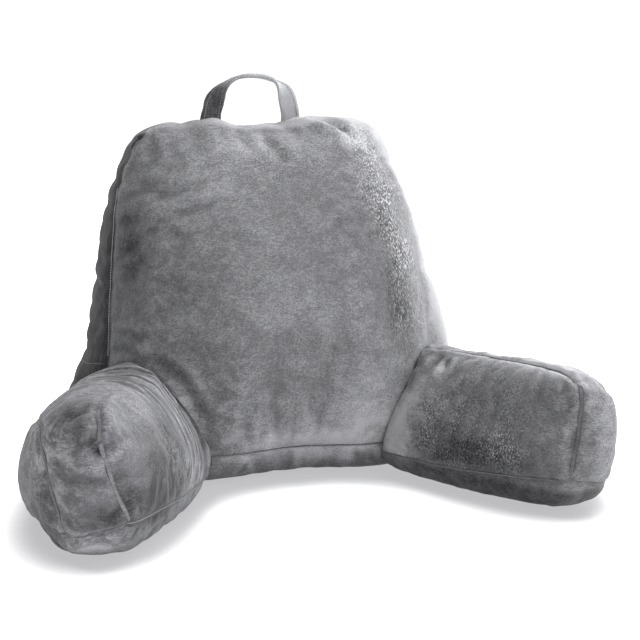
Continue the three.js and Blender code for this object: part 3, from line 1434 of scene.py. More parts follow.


# Patches of painted tone: painted highlights at the top right corner and on the right strip, painted shade
# in the fold at the upper left corner and down the left side of the front; the others mix painted light and
# shade with the pile's own tone.
BACK_LIGHT_AND_TONE_PATCHES = (
    PaintedPatch((0.084, -0.139, 0.056), (0.060, 0.05, 0.030), 0.65),
    PaintedPatch((-0.006, -0.126, 0.053), (0.070, 0.05, 0.026), 0.6),
    PaintedPatch((-0.060, -0.130, 0.030), (0.040, 0.03, 0.014), 0.30),
    PaintedPatch((0.020, -0.130, 0.025), (0.050, 0.03, 0.014), 0.45),
    PaintedPatch((-0.062, -0.147, 0.101), (0.050, 0.05, 0.040), 0.1),
    PaintedPatch((0.150, -0.099, 0.215), (0.035, 0.05, 0.045), -0.75),
    PaintedPatch((0.120, -0.070, 0.300), (0.050, 0.06, 0.070), -0.40),
    PaintedPatch((0.145, 0.000, 0.425), (0.030, 0.04, 0.025), 0.5),
    PaintedPatch((0.096, -0.142, 0.102), (0.045, 0.05, 0.040), 0.5),
    PaintedPatch((-0.042, -0.011, 0.425), (0.080, 0.06, 0.022), 0.25),
    PaintedPatch((0.020, 0.000, 0.430), (0.050, 0.05, 0.016), 0.25),
    PaintedPatch((0.120, 0.010, 0.440), (0.035, 0.05, 0.020), 0.7),
    PaintedPatch((-0.176, -0.087, 0.172), (0.030, 0.04, 0.020), 0.35),
    PaintedPatch((-0.133, -0.128, 0.121), (0.030, 0.04, 0.030), 0.45),
    PaintedPatch((-0.170, 0.037, 0.430), (0.009, 0.012, 0.009), -3.5),
    PaintedPatch((-0.190, -0.030, 0.270), (0.028, 0.05, 0.090), -0.3),
    PaintedPatch((-0.195, -0.010, 0.300), (0.020, 0.05, 0.070), -0.55),
    PaintedPatch((0.010, -0.090, 0.250), (0.060, 0.08, 0.050), 0.12),
    PaintedPatch((-0.100, -0.060, 0.370), (0.060, 0.05, 0.030), 0.2),
    PaintedPatch((0.240, 0.000, 0.190), (0.020, 0.030, 0.050), 1.0),
)

BACK_MOTTLES = (
    PaintedPatch((-0.160, -0.060, 0.250), (0.060, 0.09, 0.140), 0.22),
    PaintedPatch((0.130, -0.060, 0.300), (0.060, 0.09, 0.140), 0.35),
    PaintedPatch((-0.110, -0.120, 0.100), (0.070, 0.06, 0.050), 0.3),
)


@dataclass
class BackCushion(Cushion):
    """The wedge-shaped back: front and rear panels, a boxing strip round the sides and top, and a base.

    Attributes:
        base_seam: Height of the seam round the base panel.
        top_seam: Height of the top seams.
        corner_drop: How far they fall at the corners.
        corner_half: Half the width between the upper corners.
        loop_feet: Where the carrying loop is sewn in.
    """

    base_seam: float = 0.042
    top_seam: float = 0.448
    corner_drop: float = 0.014
    corner_half: float = 0.161
    loop_feet: tuple[Place, ...] = ((-0.063, 0.092, 0.458), (0.053, 0.092, 0.462))

    def rail(self, side: Side, edge: int) -> Path:
        """Draws a side seam.

        Args:
            side: Which side.
            edge: 2 for the front panel's seam, 3 for the rear panel's.

        Returns:
            The seam's line.
        """
        if side is Side.LEFT and edge == 2:
            return Path(np.array(LEFT_RAIL, float)).even(0.005).softened(4)
        z = np.linspace(BACK_RAILS[0][0], BACK_RAILS[-1][0], 90)
        return Path(np.stack([side.value * column(BACK_RAILS, z, 1), column(BACK_RAILS, z, edge), z], 1))

    def top_line(self, edge: int) -> Path:
        """Draws a top seam.

        Args:
            edge: 2 for the front panel's seam, 3 for the rear panel's.

        Returns:
            The seam's line.
        """
        a = np.linspace(-1, 1, 90)
        x = a * (self.corner_half + 0.006 * (1 - np.abs(a) ** 4))
        z = self.top_seam - self.corner_drop * np.abs(a) ** 4
        z = z + sum(rise * bell(x - at, wide) for at, wide, rise in TOP_LUMPS)
        full = 0.003 if edge == 2 else -0.001
        y = BACK_RAILS[-1][edge] - full * dome(a, 3.2, 0.8)
        return Path(np.stack([x, y, z], 1))

    def behind_front(self, points: np.ndarray) -> np.ndarray:
        """Measures points against the front panel's side seams.

        Args:
            points: The points, one row each.

        Returns:
            How far each lies behind them.
        """
        x, y, z = points.T
        z = np.clip(z, RAIL_FOOT, RAIL_TOP)
        rows = np.array(LEFT_RAIL, float)
        left = np.interp(z, rows[:, 2], rows[:, 1])
        return y - np.where(x < 0, left, column(BACK_RAILS, z, 2))

    def base_line(self, tree: BVHTree) -> Path:
        """Finds the seam round the base panel.

        Args:
            tree: The solid's surface.

        Returns:
            The seam's line.
        """
        found = []
        for angle in np.linspace(0, 2 * math.pi, 240):
            out = Vector((math.cos(angle), 0.6 * math.sin(angle), 0))
            start = Vector((0, 0.02, self.base_seam)) + out
            place, _, _, _ = tree.ray_cast(start, -out)
            if place is not None:
                found.append(place)
        return Path(np.array(found, float).reshape(-1, 3))

    def sew(self) -> None:
        """Finds the lines of the seams."""
        tree = surface_of(self.node)
        left, right = Side.LEFT, Side.RIGHT
        self.seams = [
            Seam("front_left", self.rail(left, 2), 0.0020, 0.0042, 0.0007, 0.034, 0.030, 0.0, seed=3),
            Seam("front_right", self.rail(right, 2), 0.0007, 0.006, 0.0012, 0.030, 0.026, 0.0, False, 4),
            Seam("rear_left", self.rail(left, 3), pucker=0.0014, pitch=0.030, seed=5),
            Seam("rear_right", self.rail(right, 3), pucker=0.0014, pitch=0.030, seed=6),
            Seam("top_front", self.top_line(2), 0.0008, 0.006, 0.0020, 0.034, 0.034, 0.0, False, 7),
            Seam("top_rear", self.top_line(3), pucker=0.0016, pitch=0.028, reach=0.028, seed=8),
            Seam("base", self.base_line(tree), 0.0011, 0.0032, 0.0009, 0.030, welt=0.0010, seed=9),
        ]
        for side, name in ((left, "gusset_left"), (right, "gusset_right")):
            line = Path(np.array(GUSSET_LINE, float) * (-side.value, 1, 1)).even(0.005)
            self.seams.append(Seam(name, line, draw=0.0012, pucker=0.0, welt=0.0009, firm=False, seed=10))
        for seam in self.seams:
            seam.path = seam.path.even(0.005).laid_on(tree, ON_SURFACE).softened(1)

    def extra_lift(self, points: np.ndarray) -> np.ndarray:
        """Puckers the cloth round the feet of the loop and scallops the boxing strip.

        Args:
            points: The points, one row each.

        Returns:
            How far each point rises, or sinks below 0.
        """
        lift = self.scallops(points)
        for foot in self.loop_feet:
            away = points - np.array(foot)
            gap = np.linalg.norm(away, axis=1)
            turn = np.arctan2(away[:, 0], -away[:, 1])
            lift += -0.003 * bell(gap, 0.016) + 0.0011 * np.cos(6 * turn) * bell(gap - 0.026, 0.012)
        return lift

    def scallops(self, points: np.ndarray) -> np.ndarray:
        """Bulges the boxing strip between its puckers, fullest on the left.

        Args:
            points: The points, one row each.

        Returns:
            How far each point rises, or sinks below 0.
        """
        x, y, z = points.T
        full = np.where(x < 0, 0.0019, 0.0006)
        wave = np.abs(np.sin(math.pi * (z + 0.004 * ripple(z, 0.06, 51)) / 0.027)) ** 0.7
        strip = ease_in(np.abs(x), 0.15, 0.175) * bell(y - 0.055, 0.034)
        return full * (wave - 0.6) * strip * ease_in(z, 0.03, 0.07)

    def painted_panel_light(self, points: np.ndarray) -> np.ndarray:
        """Paints shade on the left strip, and light on the right strip and the top, where the light falls
        from the right and above.

        Args:
            points: The points, one row each.

        Returns:
            The painted light of each point, below 0 where shade is painted.
        """
        x, y, z = points.T
        behind = self.behind_front(points)
        strip = ease_in(np.abs(x), 0.13, 0.16)
        # Painted shade on the left strip, which faces away from the light.
        left = -1.6 * ease_in(behind, -0.001, 0.005) * (1 - 0.6 * ease_in(behind, 0.070, 0.120))
        ragged = 0.012 * cloud(points, 0.03, 21.0) + 0.006 * cloud(points, 0.010, 22.0)
        # Painted light on the right strip.
        right = 0.92 * ease_in(behind, -0.014, 0.010) * (1 - 0.90 * ease_in(behind + ragged, 0.025, 0.085))
        # Painted light on the top.
        top = ease_in(z, 0.443, 0.455) * ease_in(y, 0.010, 0.03) * (0.25 + 0.75 * ease_in(x, -0.08, -0.01))
        top = top * (1 - 0.85 * ease_in(y + ragged, 0.035, 0.090))
        before_rear = ease_in(0.130 - y, 0.0, 0.012) * ease_in(z, 0.034, 0.046)
        side = np.where(x < 0, left, right) * strip * before_rear
        return super().painted_panel_light(points) + side * (1 - top) + 1.0 * top

    def fleck(self, points: np.ndarray) -> np.ndarray:
        """Flecks the front panel with bright tufts, most on its right.

        Args:
            points: The points, one row each.

        Returns:
            How strongly each point is flecked.
        """
        x, y, z = points.T
        front = ease_in(0.055 - y, 0.0, 0.04)
        edge = x - column(BACK_RAILS, np.clip(z, RAIL_FOOT, RAIL_TOP), 1)
        side = ease_in(edge, -0.095, -0.045) * ease_in(-edge, 0.0, 0.012) * ease_in(z, 0.12, 0.20)
        patchy = 0.35 + 0.65 * ease_in(cloud(points, 0.05, 11.0), -0.3, 0.3)
        upper = 0.14 * bell(np.hypot((x + 0.01) / 0.06, (z - 0.415) / 0.022), 1.0)
        return front * (0.04 + 0.52 * side * patchy + upper)

    def stitching(self, material: bpy.types.Material) -> bpy.types.Object:
        """Makes the thread that shows along the left front seam.

        Args:
            material: The thread.

        Returns:
            The finished piece.
        """
        tree = self.surface()
        sewn = self.seams[0].path.points
        low, high = THREAD_HEIGHTS
        sewn = sewn[(sewn[:, 2] > low) & (sewn[:, 2] < high)]
        line = Path(sewn + np.array(THREAD_SHIFT)).laid_on(tree, ON_SURFACE).softened(2)
        thread = new_piece("front_left_stitches", Stitching().along(line, tree), material)
        part_of_pillow(thread)
        return thread


# Stations of an arm from inside the back to its end: share of the length, the inner base seam, the
# inner top seam, the outer top seam and the outer base seam in plan, and their heights.
ARM_RAILS = (
    (0.00, 0.066, -0.066, 0.168, -0.020, 0.246, 0.044, 0.246, 0.050, 0.032, 0.148, 0.088),
    (0.28, 0.112, -0.140, 0.200, -0.092, 0.290, -0.036, 0.292, -0.050, 0.032, 0.156, 0.095),
    (0.55, 0.145, -0.224, 0.236, -0.180, 0.312, -0.140, 0.314, -0.158, 0.036, 0.160, 0.111),
    (0.80, 0.194, -0.300, 0.256, -0.284, 0.323, -0.244, 0.328, -0.264, 0.042, 0.166, 0.133),
    (1.00, 0.246, -0.370, 0.264, -0.366, 0.321, -0.328, 0.305, -0.356, 0.050, 0.171, 0.151),
)


@dataclass
class ArmCushion(Cushion):
    """One arm: inner and outer panels, a boxing strip over the top and down the end, and a base.

    Attributes:
        side: Which arm.
        foot_drop: How much lower its base seam runs on the outer side.
        crown: Rise of the boxing strip between its seams.
        end_drop: How far the upper end corner falls.
        end_round: Share of the length that the corner rounds in.
        sway: How far the end lies towards +X.
        gathers: Height of the gathers over the arm, or 0 for a smooth arm.
        gather_pitch: Distance between them.
        gather_slant: How far forward they run for each metre down.
        gather_from: Where they begin and end, measured forwards.
        lines: Its seams whose lines are given, by name.
        junction: The line where it is sewn to the back.
    """

    side: Side = Side.RIGHT
    foot_drop: float = 0.011
    crown: float = 0.012
    end_drop: float = 0.010
    end_round: float = 0.05
    sway: float = 0.009
    gathers: float = 0.0
    gather_pitch: float = 0.0125
    gather_slant: float = 0.945
    gather_from: tuple[float, float] = (0.205, 0.385)
    lines: dict[str, tuple[Place, ...]] = field(default_factory=dict)
    junction: Optional[Path] = None

    def edge_line(self, a: np.ndarray, b: np.ndarray, c: np.ndarray) -> Path:
        """Draws a line on the arm.

        Args:
            a: Places along it from -1 to 1.
            b: Places across it, from -1 on the inner side to 1.
            c: Places up it from -1 to 1.

        Returns:
            The line.
        """
        a, b, c = np.broadcast_arrays(np.asarray(a, float), np.asarray(b, float), np.asarray(c, float))
        ahead, upper = np.maximum(a, 0), np.maximum(c, 0)
        s = (a + 1) / 2 - self.end_round * ahead**5 * upper**5
        read = [column(ARM_RAILS, s, k) for k in range(12)]
        low = np.stack([read[1], read[2], read[9]], 1)
        top = np.stack([read[3], read[4], read[10]], 1)
        outer = np.stack([read[5], read[6], read[11]], 1)
        foot = np.stack([read[7], read[8], read[9] - self.foot_drop], 1)
        height, over = ((c + 1) / 2)[:, None], ((b + 1) / 2)[:, None]
        inner_side = low + (top - low) * height
        outer_side = foot + (outer - foot) * height
        place = inner_side + (outer_side - inner_side) * over
        place[:, 2] += self.crown * upper**8 * dome(b, 2, 0.6) - self.end_drop * ahead**6 * upper**6
        place[:, 0] = self.side.value * place[:, 0] + self.sway * ease_in(-place[:, 1], 0.1, 0.38)
        return Path(place)

    def join_line(self) -> Path:
        """Finds where the arm is sewn to the back, from the edge of the cut in its solid.

        Returns:
            The line.
        """
        back = surface_of("back_cushion")
        bm = solid_mesh(self.node)
        cut = {f for f in bm.faces if back.find_nearest(f.calc_center_median())[3] < 0.0011}
        rim = [e for e in bm.edges if sum(f in cut for f in e.link_faces) == 1]
        loops = []
        while rim:
            edge = rim.pop(0)
            loop = [edge.verts[0], edge.verts[1]]
            onward = [e for e in rim if loop[-1] in e.verts]
            while onward:
                rim.remove(onward[0])
                loop.append(onward[0].other_vert(loop[-1]))
                onward = [e for e in rim if loop[-1] in e.verts]
            loops.append([v.co.copy() for v in loop])
        bm.free()
        longest = max(loops, key=len)
        return Path(np.array(longest, float).reshape(-1, 3))

    def sew(self) -> None:
        """Finds the lines of the seams."""
        tree = surface_of(self.node)
        t = np.linspace(-1, 1, 90)
        self.junction = self.join_line().even(0.004).softened(3)
        seed = 20 if self.side is Side.LEFT else 50
        lines = {
            "inner_top": (self.edge_line(t, -1, 1), 0.0015),
            "outer_top": (self.edge_line(t, 1, 1), 0.0015),
            "inner_base": (self.edge_line(t, -1, -1), 0.0013),
            "outer_base": (self.edge_line(t, 1, -1), 0.0013),
            "end_inner": (self.edge_line(1, -1, t), 0.0029),
            "end_outer": (self.edge_line(1, 1, t), 0.0029),
            "end_base": (self.edge_line(1, t, -1), 0.0016),
        }
        self.seams = []
        for number, (name, (line, welt)) in enumerate(lines.items()):
            if name in self.lines:
                line = Path(np.array(self.lines[name], float)).even(0.005).softened(4)
            path = line.even(0.005).laid_on(tree, 0.009).softened(1)
            base = name.endswith("base")
            draw = 0.0012 if base else 0.0016
            self.seams.append(Seam(name, path, draw=draw, wide=0.0036, welt=welt, seed=seed + number))
        junction = Seam("junction", self.junction, wide=0.0046, pucker=0.0010, pitch=0.018, welt=0.0028)
        junction.seed = seed + 9
        self.seams.append(junction)

    def gathered(self, points: np.ndarray) -> np.ndarray:
        """Gathers the cloth round the arm beside the back.

        Args:
            points: The points, one row each.

        Returns:
            How strongly each point is gathered.
        """
        if self.gathers <= 0:
            return np.zeros(len(points))
        forward = -points[:, 1] + self.gather_slant * points[:, 2]
        start, end = self.gather_from
        reach = ease_in(forward, start - 0.03, start) * ease_in(forward, end + 0.03, start + 0.10)
        inner = ease_in(-points[:, 0] * self.side.value, -0.30, -0.24)
        above = ease_in(points[:, 2], 0.02, 0.06)
        strength = 0.75 + 0.5 * cloud(points, 0.04, 16.0)
        return 1.2 * strength * reach * inner * above * (1 - self.beside_back(points))

    def beside_back(self, points: np.ndarray) -> np.ndarray:
        """Finds the plain strip between the gathers and the back.

        Args:
            points: The points, one row each.

        Returns:
            1 for a point on the strip, 0 away from it.
        """
        if self.side is Side.RIGHT:
            return np.zeros(len(points))
        gap, _ = Path(np.array(LEFT_ARM_STRIP, float)).even(0.004).softened(4).nearest(points)
        return ease_in(gap, 0.020, 0.008)

    def extra_lift(self, points: np.ndarray) -> np.ndarray:
        """Raises the larger gathers that run round the arm beside the back.

        Args:
            points: The points, one row each.

        Returns:
            How far each point rises, or sinks below 0.
        """
        if self.gathers <= 0:
            return np.zeros(len(points))
        forward = -points[:, 1] + self.gather_slant * points[:, 2]
        around = points[:, 0] + points[:, 2]
        warped = forward + 0.003 * ripple(around, 0.11, 31)
        wave = ripple(warped, self.gather_pitch, 33) + 0.6 * ripple(warped, self.gather_pitch * 0.6, 35)
        return self.gathers * wave * self.gathered(points)

    def fleck(self, points: np.ndarray) -> np.ndarray:
        """Flecks the inner panel with bright tufts, in patches.

        Args:
            points: The points, one row each.

        Returns:
            How strongly each point is flecked.
        """
        _, y, z = points.T
        middle = bell(z - 0.095, 0.036) * ease_in(y, -0.13, -0.19) * ease_in(y, -0.36, -0.31)
        patchy = 0.4 + 0.6 * ease_in(cloud(points, 0.04, 12.0), -0.3, 0.3)
        return (0.42 if self.side is Side.RIGHT else 0.12) * middle * patchy

    def painted_panel_light(self, points: np.ndarray) -> np.ndarray:
        """Returns the light and shade painted on whole panels: painted shade round the foot and on the strip
        beside the left junction.
        """
        return super().painted_panel_light(points) - 0.8 * self.beside_back(points)


LEFT_ARM_FOLDS = (
    Fold(
        (
            (-0.275, -0.366, 0.141),
            (-0.269, -0.375, 0.131),
            (-0.264, -0.377, 0.127),
            (-0.256, -0.374, 0.130),
            (-0.248, -0.366, 0.137),
        ),
        0.0045,
        0.0040,
    ),
    Fold(((-0.262, -0.345, 0.164), (-0.264, -0.360, 0.152), (-0.265, -0.372, 0.140)), 0.006, 0.0036),
    Fold(((-0.294, -0.370, 0.102), (-0.275, -0.379, 0.099), (-0.258, -0.379, 0.098)), 0.006, 0.0020),
    Fold(((-0.304, -0.353, 0.123), (-0.301, -0.362, 0.110), (-0.297, -0.366, 0.096)), 0.005, 0.0022),
    Fold(((-0.290, -0.350, 0.060), (-0.270, -0.366, 0.066), (-0.250, -0.372, 0.060)), 0.008, 0.0018),
)

LEFT_ARM_LINES = {
    "end_inner": (
        (-0.260, -0.337, 0.166),
        (-0.263, -0.357, 0.157),
        (-0.264, -0.371, 0.143),
        (-0.258, -0.375, 0.124),
        (-0.252, -0.376, 0.100),
        (-0.245, -0.373, 0.078),
        (-0.234, -0.365, 0.051),
    ),
    "inner_top": (
        (-0.260, -0.337, 0.166),
        (-0.249, -0.299, 0.165),
        (-0.240, -0.270, 0.163),
    ),
    "end_outer": (
        (-0.316, -0.289, 0.138),
        (-0.316, -0.320, 0.120),
        (-0.313, -0.328, 0.094),
        (-0.309, -0.336, 0.072),
        (-0.302, -0.346, 0.052),
        (-0.296, -0.350, 0.037),
    ),
    "end_base": (
        (-0.296, -0.350, 0.037),
        (-0.282, -0.358, 0.039),
        (-0.263, -0.364, 0.044),
        (-0.245, -0.369, 0.050),
        (-0.234, -0.365, 0.051),
    ),
}

# The middle of the plain strip that joins the left arm to the back.
LEFT_ARM_STRIP = (
    (-0.154, -0.115, 0.134),
    (-0.134, -0.134, 0.106),
    (-0.124, -0.158, 0.078),
    (-0.122, -0.188, 0.054),
    (-0.121, -0.215, 0.028),
)

# Patches of painted tone: painted shade in the folds at the end corner and low on the inner side; the others
# mix painted light and shade with the pile's own tone.
LEFT_ARM_LIGHT_AND_TONE_PATCHES = (
    PaintedPatch((-0.287, -0.338, 0.158), (0.030, 0.030, 0.012), -0.7),
    PaintedPatch((-0.266, -0.372, 0.136), (0.012, 0.012, 0.010), -0.9),
    PaintedPatch((-0.268, -0.376, 0.101), (0.032, 0.020, 0.006), -0.45),
    PaintedPatch((-0.319, -0.316, 0.066), (0.016, 0.040, 0.030), -0.25),
    PaintedPatch((-0.323, -0.300, 0.100), (0.012, 0.040, 0.020), 0.3),
    PaintedPatch((-0.214, -0.251, 0.149), (0.035, 0.060, 0.018), 0.22),
    PaintedPatch((-0.200, -0.310, 0.100), (0.040, 0.070, 0.035), -0.75),
    PaintedPatch((-0.200, -0.325, 0.060), (0.045, 0.070, 0.030), -1.4),
    PaintedPatch((-0.218, -0.150, 0.158), (0.020, 0.050, 0.012), -0.5),
    PaintedPatch((-0.262, -0.374, 0.070), (0.030, 0.020, 0.020), -0.5),
    PaintedPatch((-0.163, -0.231, 0.094), (0.030, 0.050, 0.040), -0.25),
    PaintedPatch((-0.270, -0.355, 0.022), (0.030, 0.030, 0.014), 1.0),
    PaintedPatch((-0.205, -0.320, 0.024), (0.030, 0.050, 0.014), 0.15),
)

LEFT_ARM_MOTTLES = (
    PaintedPatch((-0.310, -0.330, 0.090), (0.030, 0.060, 0.060), 0.7),
    PaintedPatch((-0.290, -0.350, 0.145), (0.040, 0.040, 0.030), 0.5),
    PaintedPatch((-0.200, -0.320, 0.060), (0.050, 0.060, 0.030), 0.4),
    PaintedPatch((-0.270, -0.370, 0.020), (0.080, 0.040, 0.025), 0.5),
)

# Patches of painted tone: a painted highlight on the pinch near the junction, painted light along the top,
# painted shade low on the inner side; the others mix painted light and shade with the pile's own tone.
RIGHT_ARM_LIGHT_AND_TONE_PATCHES = (
    PaintedPatch((0.158, -0.158, 0.115), (0.030, 0.030, 0.040), 0.5),
    PaintedPatch((0.128, -0.160, 0.066), (0.020, 0.035, 0.045), 1.5),
    PaintedPatch((0.180, -0.260, 0.060), (0.080, 0.100, 0.024), -0.9),
    PaintedPatch((0.286, -0.377, 0.110), (0.026, 0.030, 0.050), 0.2),
    PaintedPatch((0.243, -0.345, 0.110), (0.018, 0.030, 0.050), 0.1),
    PaintedPatch((0.265, -0.250, 0.170), (0.040, 0.130, 0.016), 1.2),
    PaintedPatch((0.237, -0.150, 0.163), (0.040, 0.050, 0.016), 0.4),
    PaintedPatch((0.188, -0.160, 0.143), (0.006, 0.009, 0.010), 0.9),
    PaintedPatch((0.282, -0.358, 0.024), (0.030, 0.030, 0.020), 0.1),
)

RIGHT_ARM_MOTTLES = (
    PaintedPatch((0.160, -0.200, 0.090), (0.060, 0.080, 0.070), 0.35),
    PaintedPatch((0.270, -0.360, 0.110), (0.040, 0.040, 0.050), 0.1),
)

RIGHT_ARM_FOLDS = (
    Fold(((0.200, -0.146, 0.156), (0.190, -0.160, 0.143), (0.180, -0.170, 0.129)), 0.0045, 0.0042, 0.6),
    Fold(((0.195, 0.000, 0.160), (0.232, -0.036, 0.160), (0.266, -0.090, 0.160)), 0.020, -0.0130, 0.0),
    Fold(((0.196, -0.118, 0.158), (0.192, -0.134, 0.150), (0.184, -0.150, 0.136)), 0.006, 0.0034),
    Fold(((0.263, -0.368, 0.114), (0.258, -0.366, 0.098), (0.254, -0.366, 0.082)), 0.0045, 0.0026),
    Fold(((0.248, -0.350, 0.136), (0.256, -0.359, 0.134), (0.266, -0.366, 0.138)), 0.005, 0.0020),
    Fold(((0.300, -0.345, 0.150), (0.304, -0.352, 0.140), (0.300, -0.358, 0.128)), 0.0045, 0.0020),
    Fold(((0.236, -0.060, 0.160), (0.262, -0.070, 0.156), (0.286, -0.090, 0.150)), 0.007, 0.0024),
    Fold(((0.244, -0.110, 0.168), (0.270, -0.118, 0.164), (0.296, -0.130, 0.150)), 0.007, 0.0020),
    Fold(((0.138, -0.170, 0.060), (0.150, -0.160, 0.090), (0.170, -0.150, 0.120)), 0.010, 0.0024),
)


@dataclass
class CarryLoop:
    """The flat plush strap on an arch, with a quarter turn between each foot and the crown.

    Attributes:
        centre: Middle of the arch in X.
        depth: Its place in Y.
        half: Half its width.
        lean: How far its crown sags to the side.
        foot: Height where it enters the cushion.
        top: Height of its crown.
        foot_width: Width of the strap at its feet.
        crown_width: Its width at the crown.
        thick: Its thickness.
        arch: Below 1, the arch has squarer shoulders than a half circle.
        turn_left: How far up the arch the left side begins to turn.
        turn_right: The same on the right side.
        turn_done: How far up the arch both sides lie flat.
        hem: How far in from its edges the thread runs.
        steps: Stations along it.
    """

    centre: float = -0.005
    depth: float = 0.092
    half: float = 0.058
    lean: float = 0.005
    foot: float = 0.444
    top: float = 0.524
    foot_width: float = 0.029
    crown_width: float = 0.024
    thick: float = 0.0056
    arch: float = 0.8
    turn_left: float = 0.25
    turn_right: float = 0.55
    turn_done: float = 0.98
    hem: float = 0.0045
    steps: int = 110

    def half_widths(self) -> np.ndarray:
        """Returns half the strap's width at each station."""
        up = np.sin(np.linspace(0, math.pi, self.steps))
        return 0.5 * (self.foot_width + (self.crown_width - self.foot_width) * up)

    def stations(self) -> Stations:
        """Places stations along the strap.

        Returns:
            The stations.
        """
        t = np.linspace(0, math.pi, self.steps)
        along, up = np.cos(t), np.sin(t)
        rise = self.top - self.thick / 2 - self.foot
        x = self.centre - self.half * np.sign(along) * np.abs(along) ** self.arch + self.lean * up
        z = self.foot + rise * up**self.arch
        centres = np.stack([x, np.full_like(x, self.depth), z], 1)
        out = np.stack([-along, np.zeros_like(x), up], 1)
        depth = np.array([0.0, 1.0, 0.0])
        start = np.where(along > 0, self.turn_left, self.turn_right)
        share = np.clip((up - start) / (self.turn_done - start), 0, 1)
        turn = (math.pi / 2) * share * share * (3 - 2 * share)
        cos, sin = np.cos(turn)[:, None], np.sin(turn)[:, None]
        return Stations(centres, out * cos + depth * sin, depth * cos - out * sin)

    def build(self, material: bpy.types.Material) -> bpy.types.Object:
        """Makes the strap.

        Args:
            material: Its plush.

        Returns:
            The finished piece.
        """
        stations = self.stations()
        wide = self.half_widths()
        wide = wide * (1 + 0.03 * ripple(np.arange(self.steps) * 0.003, 0.02, 91))
        high = np.full(self.steps, self.thick / 2)
        mesh = sweep(stations, wide, high, 28, folded)
        points = points_of(mesh)
        lift = 0.0007 * cloud(points, 0.012, 21.0)
        move_points(mesh, points + normals_of(mesh) * lift[:, None])
        points = points_of(mesh)
        x, _, z = points.T
        # Painted light on the strap's right side and crown and painted shade on its left, with random tone.
        nap = 0.1 + 1.1 * ease_in(x, -0.02, 0.045) - 0.8 * ease_in(x, -0.035, -0.055)
        nap = nap + 0.5 * ease_in(z, 0.500, 0.518)
        paint(mesh, "nap", nap + 0.3 * cloud(points, 0.02, 22.0))
        paint(mesh, "fleck", np.full(len(points), 0.05))
        paint(mesh, "hollow", np.zeros(len(points)))
        strap = new_piece("carry_strap", mesh, material)
        part_of_pillow(strap, "carry_loop")
        return strap

    def stitching(self, material: bpy.types.Material) -> bpy.types.Object:
        """Makes a row of stitches along each edge of the strap, on both its faces.

        Args:
            material: The thread.

        Returns:
            The finished piece.
        """
        stations = self.stations()
        inset = self.half_widths() - self.hem
        rows = []
        stitch = Stitching()
        for edge in (-1, 1):
            for face in (-1, 1):
                line = stations.centres + stations.across * (edge * inset)[:, None]
                line = line + stations.out * face * (self.thick * 0.42)
                row = Stations(line, stations.across, stations.out).even(stitch.pitch)
                rows.append(stitch.lay(row, 3))
        thread = new_piece("carry_strap_stitches", joined(rows), material)
        part_of_pillow(thread)
        return thread


@dataclass(frozen=True)
class Lamp:
    """A wide soft light, far away.

    Attributes:
        name: Its name.
        towards: Direction to it.
        strength: Its strength.
        softness: Its width in degrees.
    """

    name: str
    towards: Place
    strength: float
    softness: float

    def hang(self) -> None:
        """Adds the lamp to the scene."""
        data = bpy.data.lights.new(self.name, "SUN")
        data.energy = self.strength
        data.angle = math.radians(self.softness)
        lamp = bpy.data.objects.new(self.name, data)
        lamp.rotation_mode = "QUATERNION"
        lamp.rotation_quaternion = Vector(self.towards).to_track_quat("Z", "Y")
        bpy.context.scene.collection.objects.link(lamp)


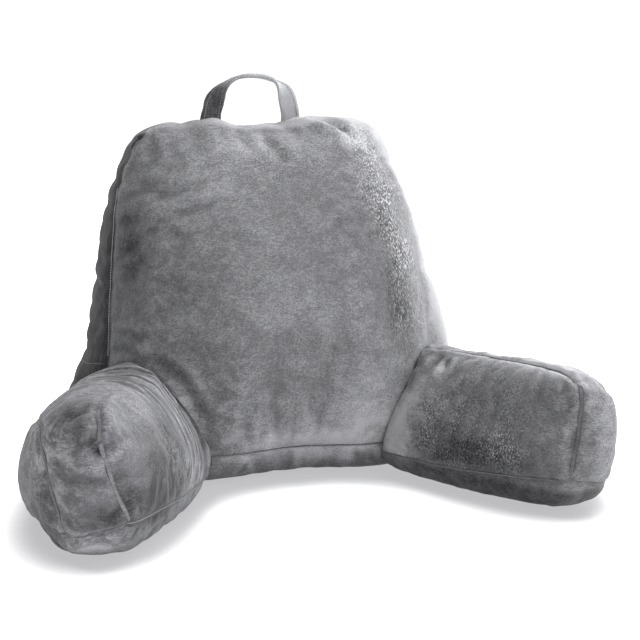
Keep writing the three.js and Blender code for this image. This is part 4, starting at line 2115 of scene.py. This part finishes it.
@dataclass
class Studio:
    """White floor, soft light from the upper right, and the camera.

    Attributes:
        azimuth: Degrees that the camera stands round from the front.
        elevation: Degrees that it looks down.
        distance: Its distance from what it looks at.
        target: What it looks at.
        lens: Focal length in millimetres.
        lamps: The lights.
        ceiling: Brightness of the room overhead.
        backdrop: Brightness of the room at eye level behind the pillow.
        backdrop_side: Direction of the middle of that brightness.
        shade: Brightness of the room at eye level in front of it.
        floor_size: Width of the floor.
    """

    azimuth: float = -16.4
    elevation: float = 9.3
    distance: float = 1.3568
    target: Place = (0.0409, -0.1, 0.2025)
    lens: float = 59.2
    lamps: tuple[Lamp, ...] = (
        Lamp("key", (0.62, -0.43, 0.66), 5.5, 75.0),
        Lamp("rim", (0.62, 0.56, 0.55), 5.0, 65.0),
    )
    ceiling: float = 0.50
    backdrop: float = 1.1
    backdrop_side: Place = (0.36, 0.933, 0.0)
    shade: float = 0.42
    floor_size: float = 60.0

    def build(self) -> None:
        """Sets up the floor, the lights and the camera."""
        self.make_floor()
        self.make_room()
        for lamp in self.lamps:
            lamp.hang()
        self.make_camera()
        bpy.context.scene.view_settings.view_transform = "Standard"

    def make_floor(self) -> None:
        """Lays the floor."""
        bm = bmesh.new()
        bmesh.ops.create_grid(bm, x_segments=4, y_segments=4, size=self.floor_size / 2)
        mesh = bpy.data.meshes.new("floor")
        bm.to_mesh(mesh)
        bm.free()
        new_piece("floor", mesh, FloorFinish().make())

    def make_room(self) -> None:
        """Lights the room: white at eye level behind the pillow, dimmer in front and overhead."""
        world = bpy.data.worlds.new("room")
        shader = Shader(world)
        at = Value(shader, shader.node("ShaderNodeTexCoord", {}, {}).outputs["Generated"])
        dot = {"operation": "DOT_PRODUCT"}
        behind = shader.node("ShaderNodeVectorMath", dot, {0: at, 1: self.backdrop_side})
        split = shader.node("ShaderNodeSeparateXYZ", {}, {0: at})
        eye_level = Value(shader, behind.outputs["Value"]).step(0.60, 0.93, self.shade, self.backdrop)
        strength = Value(shader, split.outputs["Z"]).step(0.16, 0.5, eye_level, self.ceiling)
        white = {"Color": opaque((1.0, 1.0, 1.0)), "Strength": strength}
        light = shader.node("ShaderNodeBackground", {}, white)
        shader.node("ShaderNodeOutputWorld", {}, {"Surface": Value(shader, light.outputs[0])})
        bpy.context.scene.world = world

    def make_camera(self) -> None:
        """Stands the camera at the photograph's angle."""
        a, e = math.radians(self.azimuth), math.radians(self.elevation)
        back = Vector((math.sin(a) * math.cos(e), -math.cos(a) * math.cos(e), math.sin(e)))
        data = bpy.data.cameras.new("camera")
        data.sensor_width = SENSOR_WIDTH
        data.lens = self.lens
        data.clip_start = 0.05
        data.clip_end = 100.0
        camera = bpy.data.objects.new("camera", data)
        camera.rotation_mode = "QUATERNION"
        camera.location = Vector(self.target) + back * self.distance
        camera.rotation_quaternion = (-back).to_track_quat("-Z", "Y")
        bpy.context.scene.collection.objects.link(camera)
        bpy.context.scene.camera = camera


def main() -> None:
    """Builds the pillow and its studio, in order."""
    logging.basicConfig(level=logging.INFO, format="%(name)s %(message)s")
    plush = PlushFinish("grey_plush").make()
    speckled = PlushFinish("grey_plush_speckled", fleck=(0.0026, 0.0015)).make()
    edge = PlushFinish("seam_plush", patch=0.03, lift=0.0006).make()
    thread = ThreadFinish("pale_thread", (0.42, 0.42, 0.44)).make()
    dark_thread = ThreadFinish("grey_thread", (0.20, 0.20, 0.215)).make()
    back = BackCushion(
        "back_cushion",
        "back_plush",
        voxel=0.0063,
        mottle=0.14,
        band=-0.12,
        cap=0.0045,
        folds=list(BACK_FOLDS),
        light_and_tone_patches=list(BACK_LIGHT_AND_TONE_PATCHES),
        mottles=list(BACK_MOTTLES),
    )
    left = ArmCushion(
        "arm_left",
        "arm_left_plush",
        voxel=0.0045,
        side=Side.LEFT,
        band=-0.18,
        mottle=0.18,
        gathers=0.0007,
        lines=LEFT_ARM_LINES,
        folds=list(LEFT_ARM_FOLDS),
        light_and_tone_patches=list(LEFT_ARM_LIGHT_AND_TONE_PATCHES),
        mottles=list(LEFT_ARM_MOTTLES),
    )
    right = ArmCushion(
        "arm_right",
        "arm_right_plush",
        voxel=0.005,
        side=Side.RIGHT,
        band=-0.72,
        mottle=0.18,
        folds=list(RIGHT_ARM_FOLDS),
        light_and_tone_patches=list(RIGHT_ARM_LIGHT_AND_TONE_PATCHES),
        mottles=list(RIGHT_ARM_MOTTLES),
    )
    for cushion, cloth in ((back, plush), (left, plush), (right, speckled)):
        cushion.build(cloth)
        cushion.welts(f"{cushion.node}_welts", edge)
    back.stitching(thread)
    loop = CarryLoop()
    loop.build(plush)
    loop.stitching(dark_thread)
    Studio().build()


if __name__ == "__main__":
    main()
